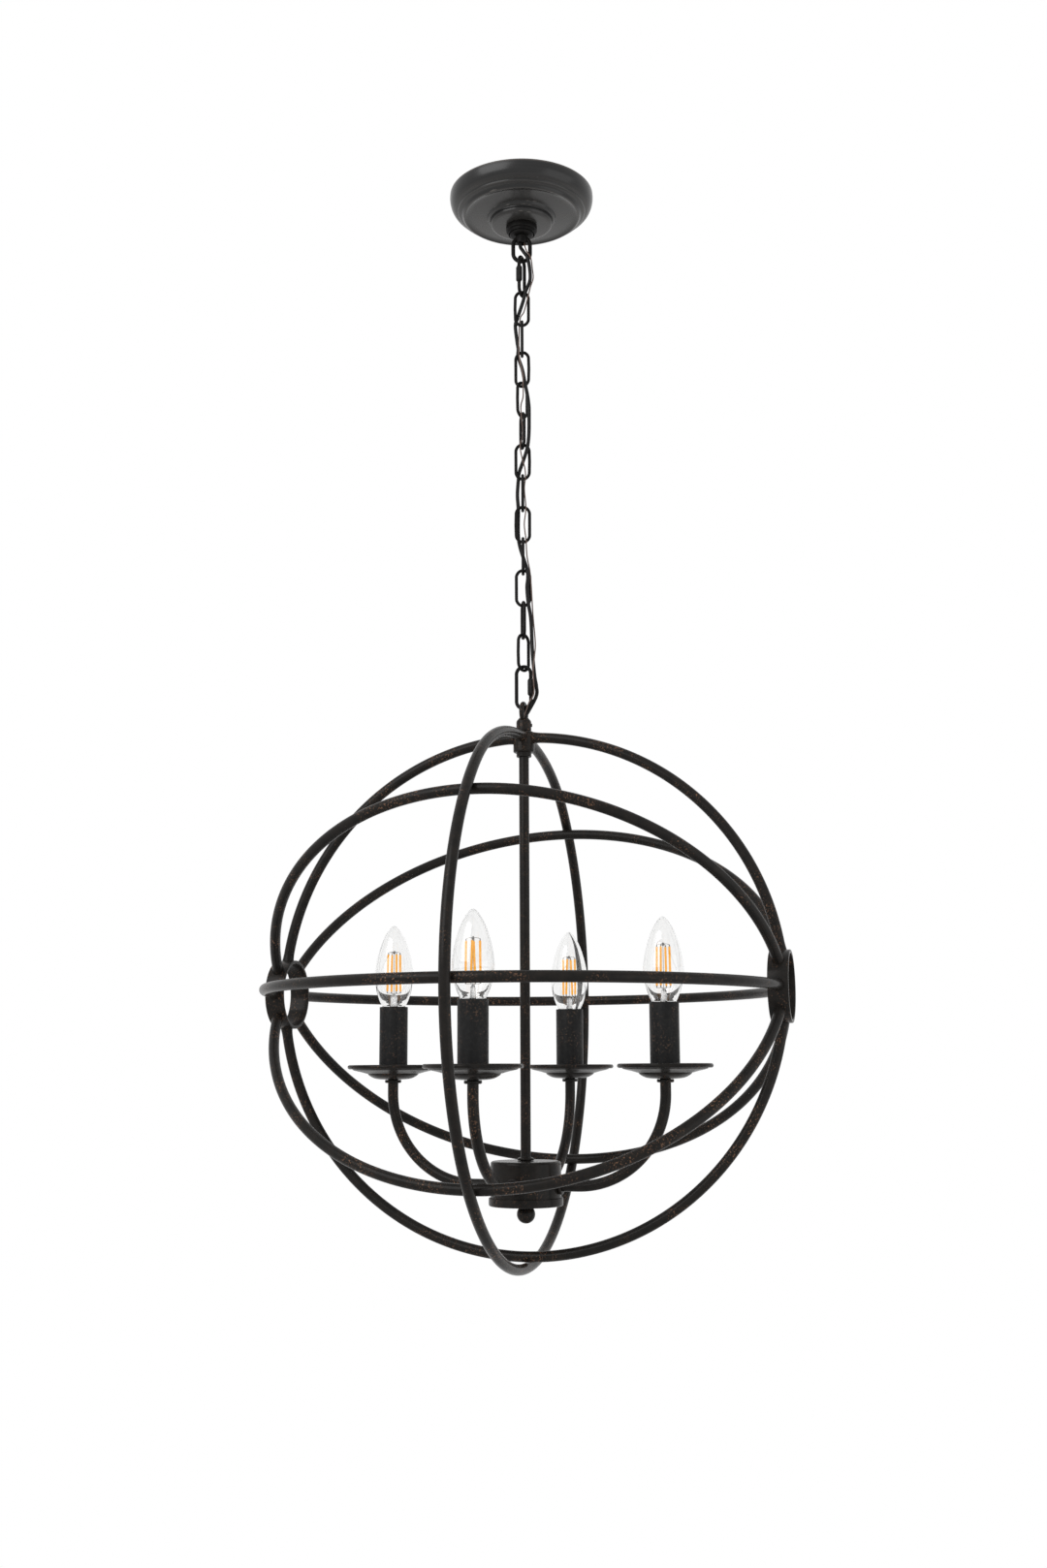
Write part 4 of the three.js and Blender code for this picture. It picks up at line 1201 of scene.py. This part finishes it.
def makeStrands(side, foot, look):
    grey, fineWire, up, steps = finishes["supportWire"], look["wire"], Vector((0, 0, 1)), look["steps"]
    stemTop = foot + stemSet["top"]
    crown = Vector((0, 0, foot + look["high"] + look["tip"] + soft))
    strands, wires = [], []

    def ringPoint(radius, angle, height):
        return Vector((radius * math.cos(angle), radius * math.sin(angle), foot + height))

    def addWire(name, path, thickness, sides):
        wires.append(wire(name, path, thickness, grey, sides=sides))

    for k in range(look["count"]):
        a = lookFrom - lightTurn[side] + math.radians(look["turn"][side]) + fullTurn * k / look["count"]
        start = ringPoint(look["lowRing"], a, look["low"])
        stop = ringPoint(look["highRing"], a + math.radians(look["twist"][side]), look["high"])
        path = [start.lerp(stop, t / steps) for t in range(steps + 1)]
        strands.append(wire("strand", path, look["thick"], filamentGlow, sides=12))
        tipTop, tipLow = stop + up * look["tip"], start - up * look["tip"]
        addWire("tip", [stop - up * thin, tipTop], look["tipThick"], 8)
        addWire("tip", [start + up * thin, tipLow], look["tipThick"], 8)
        sag = tipTop.lerp(crown, 0.5) + up * soft
        addWire("spoke", smoothLine([tipTop, sag, crown], steps=5), fineWire, 6)
        inward = look["root"] * stemSet["waist"] / look["lowRing"]
        root = Vector((start.x * inward, start.y * inward, stemTop - look["rootSunk"]))
        bent = tipLow.lerp(root, look["leadShare"]) + up * look["leadUp"]
        lead = smoothLine([root, root + up * look["rootUp"], bent, tipLow], steps=5)
        addWire("lead", lead, fineWire, 6)
    size, flat, steps = look["bead"], look["beadFlat"], look["beadSteps"]
    angles = [math.pi * k / steps for k in range(steps + 1)]
    bead = [(max(size * math.sin(a) * flat, 0), crown.z - size * math.cos(a)) for a in angles]
    wires.append(turned("bead", bead, grey, segments=24))
    addWire("post", [Vector((0, 0, stemTop - look["postSunk"])), crown], fineWire * look["post"], 8)
    addToBulb(gather("filaments" + side.title(), strands, filamentGlow), side)
    addToBulb(gather("supports" + side.title(), wires, grey), side)


# The glass stem that carries the wires
stemSet = {
    "foot": 4.2 * mm, "waist": 2.9 * mm, "top": 10.8 * mm, "pinch": 3.3 * mm, "flat": 0.55,
    "flareShare": 1.1, "flareHeight": 3 * mm, "waistHeight": 7 * mm, "curve": 2 * mm,
    "pinchShare": 0.95, "pinchBelow": 1.6 * mm, "pinchRound": 1 * mm, "tipShare": 0.6,
}


def makeStem(side, foot, neck, look):
    waist, pinch, top, low = look["waist"], look["pinch"], foot + look["top"], neck + crisp
    line = [(0, low), (look["foot"], low, eased),
            (waist * look["flareShare"], foot + look["flareHeight"], look["curve"]),
            (waist, foot + look["waistHeight"], look["curve"]),
            (pinch * look["pinchShare"], top - look["pinchBelow"], look["pinchRound"]),
            (pinch * look["tipShare"], top, full), (0, top)]
    stem = turned("bulbStem" + side.title(), line, stemGlass, segments=48)
    flat = Matrix.Diagonal((1, look["flat"], 1, 1))
    turn = Matrix.Rotation(math.radians(strandSet["turn"][side]), 4, "Z")
    addToBulb(placed(stem, turn @ flat), side)


def makeBulb(side, look):
    low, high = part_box("bulb_" + side)
    foot = high.z - look["height"]
    neck = foot + look["height"] * look["shares"][0][1]
    makeGlass(side, look, foot, high.z)
    makeBase(side, look, neck, low.z)
    makeStem(side, foot, neck, stemSet)
    makeStrands(side, foot, strandSet)


for lightSide in lights:
    makeArm(lightSide, armSet)
    makePan(lightSide, panSet)
    makeSleeve(lightSide, sleeveSet)
    makeSocket(lightSide, socketSet)
    makeBulb(lightSide, bulbSet)
print("lights made")

# Backdrop and studio light. A lamp has its power, its size and its place as the camera sees it.
lightSet = {
    "world": 0.75,
    "lamps": {
        "keyLight": (26.0, 1.6, (-1.3, -1.4, 0.35)),
        "fillLight": (10.0, 2.0, (1.9, -1.1, -0.9)),
    },
    "floorRadius": 1.6,
    "floorDepth": 1.35,
    "floorPale": 0.82,
    "floorRough": 0.9,
}


def makeWorld(look):
    world = bpy.data.worlds.new("studioWhite")
    bpy.context.scene.world = world
    world.use_nodes = True
    tree = world.node_tree
    tree.nodes.clear()
    rays = tree.nodes.new("ShaderNodeLightPath").outputs
    seen = rays["Is Camera Ray"]
    for kind in ("Is Glossy Ray", "Is Transmission Ray"):
        seen = maths(tree, "MAXIMUM", seen, rays[kind])
    soften = node(tree, "ShaderNodeBackground", Color=(1, 1, 1, 1), Strength=look["world"])
    clean = node(tree, "ShaderNodeBackground", Color=(1, 1, 1, 1), Strength=1.0)
    mix = tree.nodes.new("ShaderNodeMixShader")
    out = tree.nodes.new("ShaderNodeOutputWorld")
    for source, socket in zip((seen, soften.outputs[0], clean.outputs[0]), mix.inputs):
        tree.links.new(source, socket)
    tree.links.new(mix.outputs[0], out.inputs[0])


def makeLamp(name, power, size, place):
    data = bpy.data.lights.new(name, "AREA")
    data.energy, data.size = power, size
    lamp = bpy.data.objects.new(name, data)
    lamp.location = Matrix.Rotation(lookFrom, 3, "Z") @ Vector(place)
    ahead = Vector((0, 0, ballCentre)) - lamp.location
    lamp.rotation_euler = ahead.to_track_quat("-Z", "Y").to_euler()
    bpy.context.scene.collection.objects.link(lamp)
    return lamp


def makeStage(look):
    makeWorld(look)
    lamps = [makeLamp(name, *values) for name, values in look["lamps"].items()]
    made, tree, shader = newFinish("paleFloor")
    pale = look["floorPale"]
    give(tree, shader, Base_Color=(pale, pale, pale, 1), Roughness=look["floorRough"])
    outline = [(x, y, cadBox[0][2] - look["floorDepth"]) for x, y in circle(look["floorRadius"], 64)]
    floor = newPiece("paleFloor", outline, [list(range(64))], made)


makeStage(lightSet)
bpy.context.scene.view_settings.view_transform = "Standard"
print("stage made")

print("done")
